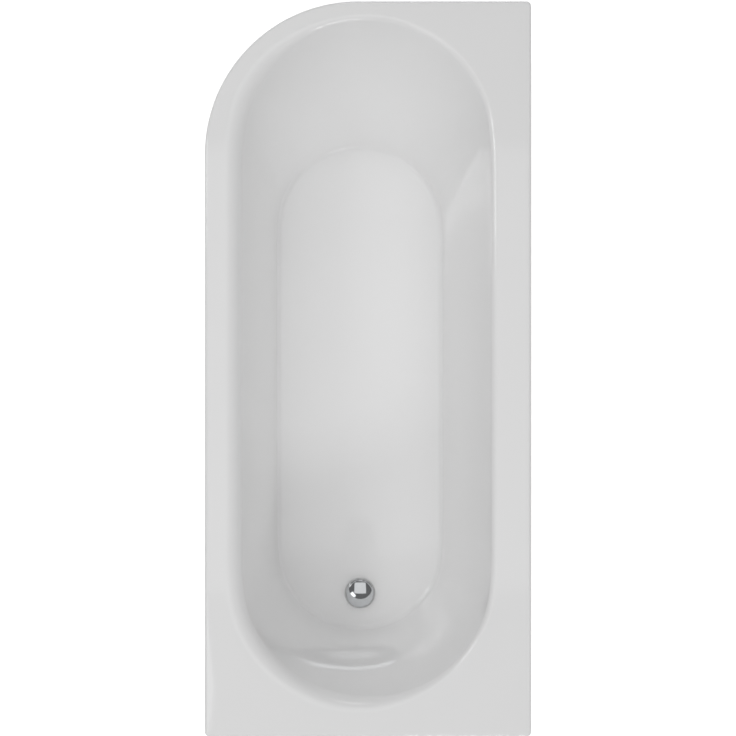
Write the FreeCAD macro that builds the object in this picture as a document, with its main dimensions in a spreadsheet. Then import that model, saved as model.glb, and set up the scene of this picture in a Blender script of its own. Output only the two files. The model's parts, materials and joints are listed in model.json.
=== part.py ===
import FreeCAD, Part
import Sketcher
import math
import os

# Bathtub with one rounded free corner, on five levelling legs, with a press-to-open waste.
# Millimetres. X runs across the bath, from the free front (-X) to the long wall (+X). Y runs along it,
# from the foot wall (-Y) to the head (+Y). Z is up, and the feet stand on Z = 0.

Vector = FreeCAD.Vector
DOCUMENT = FreeCAD.newDocument("Bathtub")

# Driving sizes: name, value in mm, meaning
SIZES = (
    ("bath_length", 1700, "overall length"),
    ("bath_width", 755, "overall width"),
    ("rim_height", 560, "top of the deck above the floor of the room"),
    ("free_corner_radius", 355, "plan radius of the one round corner"),
    ("square_corner_radius", 12, "plan radius of the three corners at the walls"),
    ("sheet_thickness", 5, "acrylic sheet"),
    ("lip_height", 32, "turned-down edge of the deck"),
    ("edge_radius", 8, "rounding of the deck's outer edge"),
    ("deck_front", 77.5, "deck width at the free front"),
    ("deck_wall", 89.5, "deck width at the long wall"),
    ("deck_head", 41, "deck width behind the head"),
    ("deck_foot", 84, "deck width at the foot"),
    ("front_run", 64, "how far the front wall of the well leans in"),
    ("wall_run", 94, "how far the wall side of the well leans in"),
    ("head_run", 228, "how far the backrest leans in"),
    ("foot_run", 85, "how far the foot wall of the well leans in"),
    ("well_depth", 415, "deck to floor at the waste"),
    ("floor_fall", 10, "rise of the floor from the waste to the head"),
    ("soft_roll", 34, "set-back of the rolled lip on the front"),
    ("crisp_roll", 11, "set-back of the lip on the wall side"),
    ("heel_roll", 11, "set-back of the rounding along the floor's edge"),
    ("backing_thickness", 3, "glass fibre on the back of the well"),
    ("backing_drop", 55, "deck to the top edge of the glass fibre"),
    ("bed_thickness", 2, "least resin bed between glass fibre and baseboard"),
    ("board_thickness", 18, "baseboard"),
    ("board_inset", 25, "baseboard inside the floor's edge"),
    ("board_hole", 104, "clearance hole of the waste in the baseboard"),
    ("batten_width", 25, "timber under the deck, across"),
    ("batten_height", 34, "timber under the deck, upright"),
    ("batten_inset", 13, "outer face of the timber from the deck's outer edge"),
    ("batten_joint", 2, "gap between two battens"),
    ("channel_width", 40, "steel cradle, across"),
    ("channel_height", 25, "steel cradle, upright"),
    ("channel_wall", 2, "sheet of the cradle and the centre bracket"),
    ("channel_length", 560, "steel cradle, along X"),
    ("channel_spread", 330, "cradles from the middle of the bath"),
    ("leg_spread", 250, "legs from the middle of a cradle"),
    ("hat_depth", 57, "centre bracket, upright"),
    ("hat_width", 80, "centre bracket, across its box"),
    ("hat_flange", 35, "centre bracket, each flange"),
    ("rod_diameter", 10, "threaded rod"),
    ("rod_clearance", 0.1, "radial play of the rod in its nuts"),
    ("rod_hole_play", 0.6, "radial play of the rod in the steel"),
    ("rod_stock", 30, "rod standing above its upper nut"),
    ("rod_bevel", 1, "bevel at the ends of the rod"),
    ("nut_flats", 17, "nut across flats"),
    ("nut_height", 8, "nut"),
    ("foot_diameter", 56, "plastic foot"),
    ("foot_height", 30, "plastic foot"),
    ("foot_edge", 5, "rim of the plastic foot"),
    ("foot_slope", 6, "rise of the plastic foot from its rim to its boss"),
    ("foot_boss", 24, "boss of the plastic foot"),
    ("socket_depth", 18, "rod in the foot"),
    ("socket_play", 0.15, "radial play of the rod in the foot"),
    ("screw_shank", 4, "wood screw"),
    ("screw_length", 14, "wood screw under its head"),
    ("screw_head", 8, "wood screw across flats"),
    ("screw_head_height", 3, "wood screw"),
    ("screw_play", 0.2, "radial play of a screw in its pilot hole"),
    ("steel_hole_play", 0.6, "radial play of a screw in steel"),
    ("cradle_screw_near", 70, "inner screws from the middle of a cradle"),
    ("cradle_screw_far", 150, "outer screws from the middle of a cradle"),
    ("waste_from_foot", 262, "axis of the waste from the foot edge"),
    ("recess_diameter", 78, "seat of the waste in the floor"),
    ("recess_depth", 3, "seat of the waste in the floor"),
    ("tail_diameter", 47.8, "G 1 1/2 tail of the waste"),
    ("tail_bore", 42, "bore of the tail"),
    ("tail_length", 72, "tail below the flange"),
    ("tail_play", 0.3, "radial play round the tail"),
    ("union_length", 43, "free end of the tail, for the trap"),
    ("groove_width", 2, "groove between the two threads of the tail"),
    ("groove_depth", 0.6, "groove between the two threads of the tail"),
    ("hole_play", 1.4, "radial play of the tail in the floor"),
    ("flange_diameter", 72, "chrome flange"),
    ("flange_height", 2.6, "chrome flange"),
    ("flange_edge", 1.2, "edge of the chrome flange"),
    ("dish_diameter", 62, "dish in the flange, at the top"),
    ("dish_depth", 1.6, "dish in the flange, down to the bore"),
    ("bridge_drop", 16, "flange to the bridge in the tail"),
    ("bridge_height", 6, "bridge in the tail"),
    ("bridge_width", 3, "each arm of the bridge"),
    ("seal_thickness", 2, "seal under the flange"),
    ("seal_diameter", 66, "seals and washers of the waste"),
    ("under_thickness", 4, "rubber washer under the floor"),
    ("slip_thickness", 1.5, "plastic washer on the back nut"),
    ("back_nut_flats", 60, "back nut across flats"),
    ("back_nut_height", 12, "back nut"),
    ("cap_diameter", 70, "chrome plug"),
    ("cap_crown", 6, "height of the plug's dome"),
    ("cap_edge", 3, "height of the plug's rim"),
    ("cap_rim_width", 3.5, "width of the plug's rim"),
    ("cap_bevel", 0.8, "bevel between the plug's rim and dome"),
    ("cap_recess", 2.1, "depth of the hollow under the plug"),
    ("cap_boss", 14, "boss under the plug"),
    ("cap_boss_length", 8, "boss under the plug"),
    ("cap_socket", 2, "plunger in the plug above the hollow"),
    ("plug_travel", 9, "press of the plug"),
    ("plug_closed_gap", 0.4, "plug above the flange when pressed"),
    ("plug_seal_outer", 59, "rubber ring under the plug"),
    ("plug_seal_inner", 48, "rubber ring under the plug"),
    ("plunger_diameter", 8, "plunger"),
    ("plunger_play", 0.1, "radial play of the plunger"),
    ("plunger_collar", 10, "collar of the plunger"),
    ("collar_height", 3, "collar of the plunger"),
    ("guide_diameter", 5, "spring guide of the plunger"),
    ("guide_length", 10, "spring guide of the plunger"),
    ("cartridge_diameter", 16, "cartridge"),
    ("cartridge_bore", 10.6, "cartridge"),
    ("cartridge_depth", 28, "cartridge below its collar"),
    ("cartridge_floor", 3, "closed end of the cartridge"),
    ("cartridge_collar", 20, "cartridge"),
    ("cartridge_collar_height", 3, "cartridge"),
    ("cartridge_play", 0.1, "radial play of the cartridge in the bridge"),
    ("neck_height", 4, "guide of the plunger in the cartridge"),
    ("stop_gap", 0.1, "collar below its stop when the plug is up"),
    ("spring_wire", 1.1, "wire of the spring"),
    ("spring_mean", 7.8, "mean diameter of the spring"),
    ("spring_turns", 4.5, "turns of the spring"),
    ("panel_thickness", 4, "front panel"),
    ("panel_gap", 0.3, "panel behind the lip"),
    ("panel_top_gap", 3, "panel below the deck"),
    ("panel_floor_gap", 4, "panel above the floor of the room"),
    ("panel_return", 18, "inward fold at the panel's lower edge"),
    ("panel_end_gap", 0.5, "ends of the panel from the rounding of the lip at the walls"),
    ("clip_length", 30, "panel clip along the batten"),
    ("clip_drop", 11, "panel clip below the batten"),
    ("clip_rise", 24, "panel clip up the batten's face"),
    ("clip_tab", 22, "panel clip under the batten"),
    ("clip_tab_height", 3, "panel clip under the batten"),
    ("clip_pitch", 330, "from clip to clip"),
    ("bracket_length", 40, "wall bracket along the wall"),
    ("bracket_sheet", 2.5, "wall bracket"),
    ("bracket_reach", 45, "wall bracket under the batten"),
    ("bracket_drop", 72, "wall bracket down the wall"),
    ("bracket_hole", 7, "wall screw holes of the bracket"),
    ("bracket_hole_pitch", 36, "wall screw holes of the bracket"),
    ("bracket_hole_drop", 36, "middle of the wall screw holes below the batten"),
    ("bracket_screw_pitch", 24, "batten screws of the bracket"),
    ("bracket_spread", 420, "brackets from the middle of the bath"),
)

SHEET = DOCUMENT.addObject("Spreadsheet::Sheet", "Sizes")
for row, (alias, amount, meaning) in enumerate(SIZES, 1):
    SHEET.set(f"A{row}", meaning)
    SHEET.set(f"B{row}", str(amount))
    SHEET.setAlias(f"B{row}", alias)
DOCUMENT.recompute()


def of(text):
    """Names of sizes in a formula, written as the spreadsheet knows them."""
    aliases = {alias for alias, _, _ in SIZES}
    words = text.replace("(", " ( ").replace(")", " ) ").split()
    return " ".join(f"Sizes.{word}" if word in aliases else word for word in words)


def value(formula):
    return float(SHEET.evalExpression(of(formula)))


# Levels and places that several pieces share, as formulas of the sizes
HALF_WIDTH = "( bath_width / 2 )"
HALF_LENGTH = "( bath_length / 2 )"
WELL_FRONT = f"( {HALF_WIDTH} - deck_front )"
WELL_WALL = f"( {HALF_WIDTH} - deck_wall )"
WELL_HEAD = f"( {HALF_LENGTH} - deck_head )"
WELL_FOOT = f"( {HALF_LENGTH} - deck_foot )"
FLOOR_FRONT = f"( {WELL_FRONT} - front_run )"
FLOOR_WALL = f"( {WELL_WALL} - wall_run )"
FLOOR_HEAD = f"( {WELL_HEAD} - head_run )"
FLOOR_FOOT = f"( {WELL_FOOT} - foot_run )"
FLOOR_MIDDLE = f"( ( {FLOOR_WALL} - {FLOOR_FRONT} ) / 2 )"
WASTE_Y = f"( waste_from_foot - {HALF_LENGTH} )"
FLOOR_LEVEL = "( rim_height - well_depth )"
DECK_UNDERSIDE = "( rim_height - sheet_thickness )"
BATTEN_BOTTOM = f"( {DECK_UNDERSIDE} - batten_height )"
BOARD_TOP = f"( {FLOOR_LEVEL} - sheet_thickness - backing_thickness - bed_thickness )"
BOARD_BOTTOM = f"( {BOARD_TOP} - board_thickness )"
HAT_LEVEL = f"( {BOARD_BOTTOM} - hat_depth + channel_wall )"
SEAT = f"( {FLOOR_LEVEL} - recess_depth )"
FLANGE_BASE = f"( {SEAT} + seal_thickness )"
FLANGE_TOP = f"( {FLANGE_BASE} + flange_height )"
TAIL_END = f"( {FLANGE_BASE} - tail_length )"
BRIDGE_TOP = f"( {FLANGE_BASE} - bridge_drop )"
CARTRIDGE_TOP = f"( {BRIDGE_TOP} + cartridge_collar_height )"
CARTRIDGE_END = f"( {BRIDGE_TOP} - cartridge_depth )"
SPRING_FOOT = f"( {CARTRIDGE_END} + cartridge_floor )"
NECK_BOTTOM = f"( {CARTRIDGE_TOP} - neck_height )"
COLLAR_TOP = f"( {NECK_BOTTOM} - stop_gap )"
COLLAR_BOTTOM = f"( {COLLAR_TOP} - collar_height )"
CAP_BOTTOM = f"( {FLANGE_TOP} + plug_closed_gap + plug_travel )"
CAP_HOLLOW = f"( {CAP_BOTTOM} + cap_recess )"
CAP_SHOULDER = f"( {CAP_BOTTOM} + cap_edge )"
CAP_TOP = f"( {CAP_SHOULDER} + cap_crown )"
PLUNGER_TOP = f"( {CAP_HOLLOW} + cap_socket )"
PANEL_INSET = "( sheet_thickness + panel_gap )"
FRONT_BATTEN_X = f"( batten_inset - {HALF_WIDTH} )"
WALL_BATTEN_X = f"( {HALF_WIDTH} - batten_inset - batten_width )"
PILOT = "screw_shank + 2 * screw_play"
SCREW_HOLE = "screw_shank + 2 * steel_hole_play"
ROD_HOLE = "rod_diameter + 2 * rod_hole_play"


# Building blocks


def new_body(label):
    body = DOCUMENT.addObject("PartDesign::Body", label)
    body.Label = label
    return body


def bind(thing, **formulas):
    """Tie properties of a feature to formulas of the sizes; a double underscore stands for a dot."""
    for name, formula in formulas.items():
        thing.setExpression(name.replace("__", "."), of(formula))
    return thing


def place(thing, x="0", y="0", z="0"):
    bind(thing, Placement__Base__x=x, Placement__Base__y=y, Placement__Base__z=z)
    return thing


def new_sketch(body, name, role, lift="0"):
    """Empty sketch on one of the body's own origin planes, lifted along the plane's normal."""
    sketch = body.newObject("Sketcher::SketchObject", name)
    plane = [item for item in body.Origin.OriginFeatures if item.Role == role][0]
    sketch.AttachmentSupport = (plane, "")
    sketch.MapMode = "FlatFace"
    bind(sketch, AttachmentOffset__Base__z=lift)
    return sketch


def dimension(sketch, kind, first, second, formula):
    """Distance from the first to the second point, kept positive for the solver."""
    amount = value(formula)
    if amount < 0:
        first, second, amount, formula = second, first, -amount, f"-( {formula} )"
    index = sketch.addConstraint(Sketcher.Constraint(kind, *first, *second, amount))
    sketch.setExpression(f"Constraints[{index}]", of(formula))


ORIGIN = (-1, 1)
X_AXIS = -1
Y_AXIS = -2
LINE_START, LINE_END, CENTRE = 1, 2, 3


def pin(sketch, point, x, y):
    """Hold a sketch point at x, y from the origin."""
    for kind, axis, formula in (("DistanceX", Y_AXIS, x), ("DistanceY", X_AXIS, y)):
        if abs(value(formula)) < 1e-9:
            sketch.addConstraint(Sketcher.Constraint("PointOnObject", *point, axis))
        else:
            dimension(sketch, kind, ORIGIN, point, formula)


def polygon(sketch, corners):
    """Closed outline through corners given as pairs of formulas."""
    points = [Vector(value(x), value(y), 0) for x, y in corners]
    first = sketch.GeometryCount
    count = len(points)
    for k in range(count):
        sketch.addGeometry(Part.LineSegment(points[k], points[(k + 1) % count]))
    for k in range(count):
        following = first + (k + 1) % count
        ends = (first + k, LINE_END, following, LINE_START)
        sketch.addConstraint(Sketcher.Constraint("Coincident", *ends))
    for k, (x, y) in enumerate(corners):
        pin(sketch, (first + k, LINE_START), x, y)
    return sketch


def circles(sketch, diameter, centres):
    for x, y in centres:
        middle = Vector(value(x), value(y), 0)
        index = sketch.addGeometry(Part.Circle(middle, Vector(0, 0, 1), value(diameter) / 2))
        rule = sketch.addConstraint(Sketcher.Constraint("Diameter", index, value(diameter)))
        sketch.setExpression(f"Constraints[{rule}]", of(diameter))
        pin(sketch, (index, CENTRE), x, y)
    return sketch


def tangent_chain(sketch, joints):
    for first, first_end, second, second_end in joints:
        sketch.addConstraint(Sketcher.Constraint("Tangent", first, first_end, second, second_end))


def stadium(sketch, front, wall, head, foot):
    """Two straight sides joined by half circles, from its four reaches off the origin."""
    left, right, top, bottom = (value(reach) for reach in (front, wall, head, foot))
    radius = (left + right) / 2
    middle = (right - left) / 2
    upper, lower = top - radius, radius - bottom
    up = Vector(0, 0, 1)
    sketch.addGeometry(Part.LineSegment(Vector(-left, upper, 0), Vector(-left, lower, 0)))
    foot_circle = Part.Circle(Vector(middle, lower, 0), up, radius)
    sketch.addGeometry(Part.ArcOfCircle(foot_circle, math.pi, 2 * math.pi))
    sketch.addGeometry(Part.LineSegment(Vector(right, lower, 0), Vector(right, upper, 0)))
    head_circle = Part.Circle(Vector(middle, upper, 0), up, radius)
    sketch.addGeometry(Part.ArcOfCircle(head_circle, 0, math.pi))
    tangent_chain(sketch, ((0, 2, 1, 1), (1, 2, 2, 1), (2, 2, 3, 1), (3, 2, 0, 1)))
    for line in (0, 2):
        sketch.addConstraint(Sketcher.Constraint("Vertical", line))
    half = f"( ( {front} + {wall} ) / 2 )"
    dimension(sketch, "DistanceX", (0, LINE_START), ORIGIN, front)
    dimension(sketch, "DistanceX", ORIGIN, (2, LINE_START), wall)
    dimension(sketch, "DistanceY", ORIGIN, (3, CENTRE), f"{head} - {half}")
    dimension(sketch, "DistanceY", (1, CENTRE), ORIGIN, f"{foot} - {half}")
    return sketch


def deck_outline(sketch, inset):
    """Plan of the deck, drawn in by inset: a rectangle with one large and three small round corners."""
    half_x, half_y = value(f"{HALF_WIDTH} - {inset}"), value(f"{HALF_LENGTH} - {inset}")
    corners = ((1, 1, "square_corner_radius"), (-1, 1, "free_corner_radius"))
    corners += ((-1, -1, "square_corner_radius"), (1, -1, "square_corner_radius"))
    arcs = []
    for quarter, (sign_x, sign_y, radius) in enumerate(corners):
        bend = value(f"{radius} - {inset}")
        centre = Vector(sign_x * (half_x - bend), sign_y * (half_y - bend), 0)
        start = quarter * math.pi / 2
        circle = Part.Circle(centre, Vector(0, 0, 1), bend)
        arcs.append(Part.ArcOfCircle(circle, start, start + math.pi / 2))
    for k, arc in enumerate(arcs):
        sketch.addGeometry(arc)
        sketch.addGeometry(Part.LineSegment(arc.EndPoint, arcs[(k + 1) % 4].StartPoint))
    for k, (_, _, radius) in enumerate(corners):
        arc, line, following = 2 * k, 2 * k + 1, (2 * k + 2) % 8
        tangent_chain(sketch, ((arc, 2, line, 1), (line, 2, following, 1)))
        kind = "Horizontal" if k % 2 == 0 else "Vertical"
        sketch.addConstraint(Sketcher.Constraint(kind, line))
        rule = sketch.addConstraint(Sketcher.Constraint("Radius", arc, value(f"{radius} - {inset}")))
        sketch.setExpression(f"Constraints[{rule}]", of(f"{radius} - {inset}"))
    head_line, front_line, foot_line, wall_line = 1, 3, 5, 7
    dimension(sketch, "DistanceY", ORIGIN, (head_line, LINE_START), f"{HALF_LENGTH} - {inset}")
    dimension(sketch, "DistanceX", (front_line, LINE_START), ORIGIN, f"{HALF_WIDTH} - {inset}")
    dimension(sketch, "DistanceY", (foot_line, LINE_START), ORIGIN, f"{HALF_LENGTH} - {inset}")
    dimension(sketch, "DistanceX", ORIGIN, (wall_line, LINE_START), f"{HALF_WIDTH} - {inset}")
    return sketch


def corner_strip(sketch, inset, width):
    """Strip of constant width along the head, the free corner and the front, inset from the deck's edge."""
    bend = value(f"free_corner_radius - {inset}")
    centre_x, centre_y = f"free_corner_radius - {HALF_WIDTH}", f"{HALF_LENGTH} - free_corner_radius"
    centre = Vector(value(centre_x), value(centre_y), 0)
    end_x = f"{HALF_WIDTH} - square_corner_radius - panel_end_gap"
    end_y = f"square_corner_radius + panel_end_gap - {HALF_LENGTH}"
    for radius in (bend, bend - value(width)):
        arc = Part.ArcOfCircle(Part.Circle(centre, Vector(0, 0, 1), radius), math.pi / 2, math.pi)
        sketch.addGeometry(Part.LineSegment(Vector(value(end_x), arc.StartPoint.y, 0), arc.StartPoint))
        sketch.addGeometry(arc)
        sketch.addGeometry(Part.LineSegment(arc.EndPoint, Vector(arc.EndPoint.x, value(end_y), 0)))
    outer_head, outer_arc, outer_front, inner_head, inner_arc, inner_front = range(6)
    for start, end in ((outer_head, inner_head), (outer_front, inner_front)):
        side = 1 if start == outer_head else 2
        first = sketch.Geometry[start].StartPoint if side == 1 else sketch.Geometry[start].EndPoint
        second = sketch.Geometry[end].StartPoint if side == 1 else sketch.Geometry[end].EndPoint
        cap = sketch.addGeometry(Part.LineSegment(first, second))
        sketch.addConstraint(Sketcher.Constraint("Coincident", cap, LINE_START, start, side))
        sketch.addConstraint(Sketcher.Constraint("Coincident", cap, LINE_END, end, side))
        sketch.addConstraint(Sketcher.Constraint("Vertical" if side == 1 else "Horizontal", cap))
    for head, arc, front in ((outer_head, outer_arc, outer_front), (inner_head, inner_arc, inner_front)):
        tangent_chain(sketch, ((head, 2, arc, 1), (arc, 2, front, 1)))
        sketch.addConstraint(Sketcher.Constraint("Horizontal", head))
        sketch.addConstraint(Sketcher.Constraint("Vertical", front))
    sketch.addConstraint(Sketcher.Constraint("Coincident", outer_arc, CENTRE, inner_arc, CENTRE))
    pin(sketch, (outer_arc, CENTRE), centre_x, centre_y)
    outer_radius = f"free_corner_radius - {inset}"
    for arc, radius in ((outer_arc, outer_radius), (inner_arc, f"{outer_radius} - {width}")):
        rule = sketch.addConstraint(Sketcher.Constraint("Radius", arc, value(radius)))
        sketch.setExpression(f"Constraints[{rule}]", of(radius))
    dimension(sketch, "DistanceX", ORIGIN, (outer_head, LINE_START), end_x)
    dimension(sketch, "DistanceY", ORIGIN, (outer_front, LINE_END), end_y)
    return sketch


def pad(body, sketch, length, symmetric=False, reverse=False):
    feature = body.newObject("PartDesign::Pad", f"{sketch.Name}_pad")
    feature.Profile = sketch
    feature.SideType = "Symmetric" if symmetric else "One side"
    feature.Reversed = reverse
    return bind(feature, Length=length)


def pocket(body, sketch, length, symmetric=False, reverse=False):
    """Cut along the sketch's normal, downwards from a level sketch unless reversed."""
    feature = body.newObject("PartDesign::Pocket", f"{sketch.Name}_pocket")
    feature.Profile = sketch
    feature.SideType = "Symmetric" if symmetric else "One side"
    feature.Reversed = reverse
    return bind(feature, Length=length)


def turned(label, corners, x="0", y="0"):
    """Body of revolution about its own upright axis, from radius and height pairs."""
    body = new_body(label)
    sketch = polygon(new_sketch(body, f"{label}_profile", "XZ_Plane"), corners)
    feature = body.newObject("PartDesign::Revolution", f"{label}_turn")
    feature.Profile = sketch
    feature.ReferenceAxis = (sketch, ["V_Axis"])
    feature.Angle = 360
    return place(body, x, y)


def rounded(body, base, radius, chosen):
    """Fillet the edges of a body's last feature that a test picks out."""
    DOCUMENT.recompute()
    names = [f"Edge{k}" for k, edge in enumerate(base.Shape.Edges, 1) if chosen(edge)]
    feature = body.newObject("PartDesign::Fillet", f"{base.Name}_fillet")
    feature.Base = (base, names)
    return bind(feature, Radius=radius)


def cylinder(label, diameter, height, x="0", y="0", z="0"):
    feature = DOCUMENT.addObject("Part::Cylinder", label)
    bind(feature, Radius=f"( {diameter} ) / 2", Height=height)
    return place(feature, x, y, z)


def hexagon(label, flats, height):
    block = DOCUMENT.addObject("Part::Prism", label)
    block.Polygon = 6
    return bind(block, Circumradius=f"{flats} / {math.sqrt(3)}", Height=height)


def hex_nut(label, flats, bore, height, x="0", y="0", z="0"):
    """Six-sided prism with a plain bore."""
    block = place(hexagon(f"{label}_block", flats, height), x, y, z)
    hole = cylinder(f"{label}_hole", bore, height, x, y, z)
    return cut(label, block, hole)


def cut(label, base, tool):
    """First shape less the second, with the well's panels kept as separate faces."""
    feature = DOCUMENT.addObject("Part::Cut", label)
    feature.Base = base
    feature.Tool = tool
    feature.Refine = False
    feature.Label = label
    return feature


def fuse(label, *shapes):
    """Shapes joined into one, with the well's panels kept as separate faces."""
    feature = DOCUMENT.addObject("Part::MultiFuse", label)
    feature.Shapes = list(shapes)
    feature.Refine = False
    feature.Label = label
    return feature


def group(label, members):
    feature = DOCUMENT.addObject("Part::Compound", label)
    feature.Links = members
    feature.Label = label
    return feature


# The well: one surface formula for the inside, the outside and the glass fibre

ARC_STATIONS = 16
PANELS = 48
CONIC_WEIGHT = 0.78
SOFT_SIDE = Vector(-0.88, -0.475, 0)
SOFT_FROM, SOFT_TO = -0.3, 0.8
SET_BACK_SHARE = 0.8


def eased(amount):
    amount = min(1.0, max(0.0, amount))
    return amount * amount * (3 - 2 * amount)


def end_stations(front, wall, head, foot, spread):
    """Points and outward normals round the head end and the foot end of a stadium that is spread outwards."""
    left, right, top, bottom = (value(reach) + spread for reach in (front, wall, head, foot))
    radius = (left + right) / 2
    middle = (right - left) / 2
    ends = []
    for level, start in ((top - radius, 0), (radius - bottom, math.pi)):
        turns = [start + math.pi * k / ARC_STATIONS for k in range(ARC_STATIONS + 1)]
        normals = [Vector(math.cos(turn), math.sin(turn), 0) for turn in turns]
        ends.append([(Vector(middle, level, 0) + normal * radius, normal) for normal in normals])
    return ends


def end_curve(ring):
    """Cubic through the points of one end."""
    curve = Part.BSplineCurve()
    curve.interpolate(Points=ring, Parameters=[k / ARC_STATIONS for k in range(ARC_STATIONS + 1)])
    return curve


def side_curve(start, end):
    curve = Part.BSplineCurve()
    curve.buildFromPolesMultsKnots([start, end], [2, 2], [0.0, 1.0], False, 1)
    return curve


def band(curves, weights, panels):
    """Faces across matching curves, by a conic or a straight line, cut into panels that need few facets."""
    across = len(curves) - 1
    poles = [list(column) for column in zip(*(curve.getPoles() for curve in curves))]
    surface = Part.BSplineSurface()
    surface.buildFromPolesMultsKnots(
        poles,
        curves[0].getMultiplicities(),
        [across + 1, across + 1],
        curves[0].getKnots(),
        [0.0, 1.0],
        False,
        False,
        curves[0].Degree,
        across,
        [list(weights)] * len(poles),
    )
    cuts = [k / panels for k in range(panels + 1)]
    return [surface.toShape(start, end, 0.0, 1.0) for start, end in zip(cuts, cuts[1:])]


def flat_end(faces, pick):
    """Flat face inside the highest or the lowest edges of a ring of faces."""
    edges = [pick(face.Edges, key=lambda edge: edge.CenterOfMass.z) for face in faces]
    return Part.Face(Part.Wire(Part.__sortEdges__(edges)))


def well_rings(spread, floor_height):
    """Six rings of points from the deck down to the floor, for the head end and for the foot end.

    Straight lines join a stadium at deck level to a smaller one on the floor. The lip leaves the deck and
    meets the wall at an equal set-back, wide on the soft side and narrow elsewhere.
    """
    crisp, soft = value("crisp_roll"), value("soft_roll")
    heel = value("heel_roll") + SET_BACK_SHARE * spread
    deck = end_stations(WELL_FRONT, WELL_WALL, WELL_HEAD, WELL_FOOT, spread)
    floor = end_stations(FLOOR_FRONT, FLOOR_WALL, FLOOR_HEAD, FLOOR_FOOT, spread)
    ends = []
    for deck_end, floor_end in zip(deck, floor):
        stations = []
        for (top, normal), (bottom, _) in zip(deck_end, floor_end):
            top.z = value("rim_height") - spread
            bottom.z = floor_height(bottom.y)
            along = Vector(-normal.y, normal.x, 0)
            fall = bottom - top
            fall = fall - along * fall.dot(along)
            fall.normalize()
            share = eased((normal.dot(SOFT_SIDE) - SOFT_FROM) / (SOFT_TO - SOFT_FROM))
            roll = crisp + (soft - crisp) * share - SET_BACK_SHARE * spread
            inner = bottom - normal * heel
            inner.z = floor_height(inner.y)
            lip = (top + normal * roll, top, top + fall * roll)
            stations.append((*lip, bottom - fall * heel, bottom, inner))
        ends.append(list(zip(*stations)))
    return ends


def well_form(label, spread, heeled, floor_height):
    """Solid of the well, spread outwards from the visible surface.

    The lip is a conic between deck and wall. A heeled form has a second conic along the floor's edge.
    """
    ends = well_rings(spread, floor_height)
    conic, straight = (1, CONIC_WEIGHT, 1), (1, 1)
    strips = [((0, 1, 2), conic), ((2, 4), straight)]
    if heeled:
        strips = [((0, 1, 2), conic), ((2, 3), straight), ((3, 4, 5), conic)]
    bands = []
    for chosen, weights in strips:
        faces = []
        for near, far in (ends, ends[::-1]):
            arcs = [end_curve(near[k]) for k in chosen]
            sides = [side_curve(near[k][-1], far[k][0]) for k in chosen]
            faces += band(arcs, weights, PANELS) + band(sides, weights, 1)
        bands.append(faces)
    closing = [flat_end(bands[0], max), flat_end(bands[-1], min)]
    shell = Part.Shell(sum(bands, closing))
    shell.sewShape()
    solid = Part.Solid(shell)
    if solid.Volume < 0:
        solid.reverse()
    form = DOCUMENT.addObject("Part::Feature", label)
    form.Shape = solid
    return form


def sloping_floor(spread):
    """Height of the floor at a place along the bath, lowered by spread."""
    waste = value(WASTE_Y)
    slope = value("floor_fall") / (value(FLOOR_HEAD) - waste)
    return lambda y: value(FLOOR_LEVEL) - spread + slope * (y - waste)


def level_floor(y):
    return value(BOARD_TOP)


# Sub-parts


def moulded_shell():
    """Acrylic shell: deck with its turned-down lip, and the well with the seat and hole of the waste."""
    deck = new_body("deck_form")
    outline = deck_outline(new_sketch(deck, "deck_plan", "XY_Plane", "rim_height"), "0")
    pad(deck, outline, "lip_height", reverse=True)
    hollow = new_sketch(deck, "lip_inside", "XY_Plane", "rim_height - lip_height")
    deck_outline(hollow, "sheet_thickness")
    pocket(deck, hollow, "lip_height - sheet_thickness", reverse=True)
    top = value("rim_height")
    rounded(deck, deck.Tip, "edge_radius", lambda edge: edge.BoundBox.ZMin > top - 1e-3)
    sheet = value("sheet_thickness")
    inside = well_form("well_inside", 0, True, sloping_floor(0))
    outside = well_form("well_outside", sheet, False, sloping_floor(sheet))
    spot = {"x": FLOOR_MIDDLE, "y": WASTE_Y}
    sump_size = ("recess_diameter + 2 * sheet_thickness", "recess_depth + sheet_thickness")
    sump = cylinder("waste_sump", *sump_size, z=f"{SEAT} - sheet_thickness", **spot)
    recess = cylinder("waste_recess", "recess_diameter", "2 * recess_depth", z=SEAT, **spot)
    hole_size = ("tail_diameter + 2 * hole_play", "4 * sheet_thickness")
    hole = cylinder("waste_hole", *hole_size, z=f"{SEAT} - 3 * sheet_thickness", **spot)
    back = fuse("shell_back", outside, sump)
    blank = fuse("shell_blank", deck, back)
    seated = cut("shell_seated", cut("shell_hollow", blank, inside), recess)
    return cut("bath_shell", seated, hole), back, hole


def glass_fibre(back, hole):
    """Jacket on the back of the well, levelled under the floor for the baseboard."""
    spread = value("sheet_thickness") + value("backing_thickness")
    outside = well_form("backing_outside", spread, False, level_floor)
    trim = DOCUMENT.addObject("Part::Box", "backing_trim")
    bind(trim, Length="bath_width", Width="bath_length", Height="backing_drop")
    place(trim, f"-1 * {HALF_WIDTH}", f"-1 * {HALF_LENGTH}", "rim_height - backing_drop")
    return cut("glassfibre_backing", outside, fuse("backing_removed", back, hole, trim))


def cradle_screw_spots():
    """Plan places of the screws in the two cradles."""
    spots = []
    for side in ("", "-1 * "):
        for reach in ("cradle_screw_near", "cradle_screw_far"):
            for sign in ("+", "-"):
                spots.append((f"{FLOOR_MIDDLE} {sign} {reach}", f"{side}channel_spread"))
    return spots


def hat_screw_spots():
    reach = "( hat_width / 2 + hat_flange / 2 )"
    return [(f"{FLOOR_MIDDLE} {sign} {reach}", "0") for sign in ("+", "-")]


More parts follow.
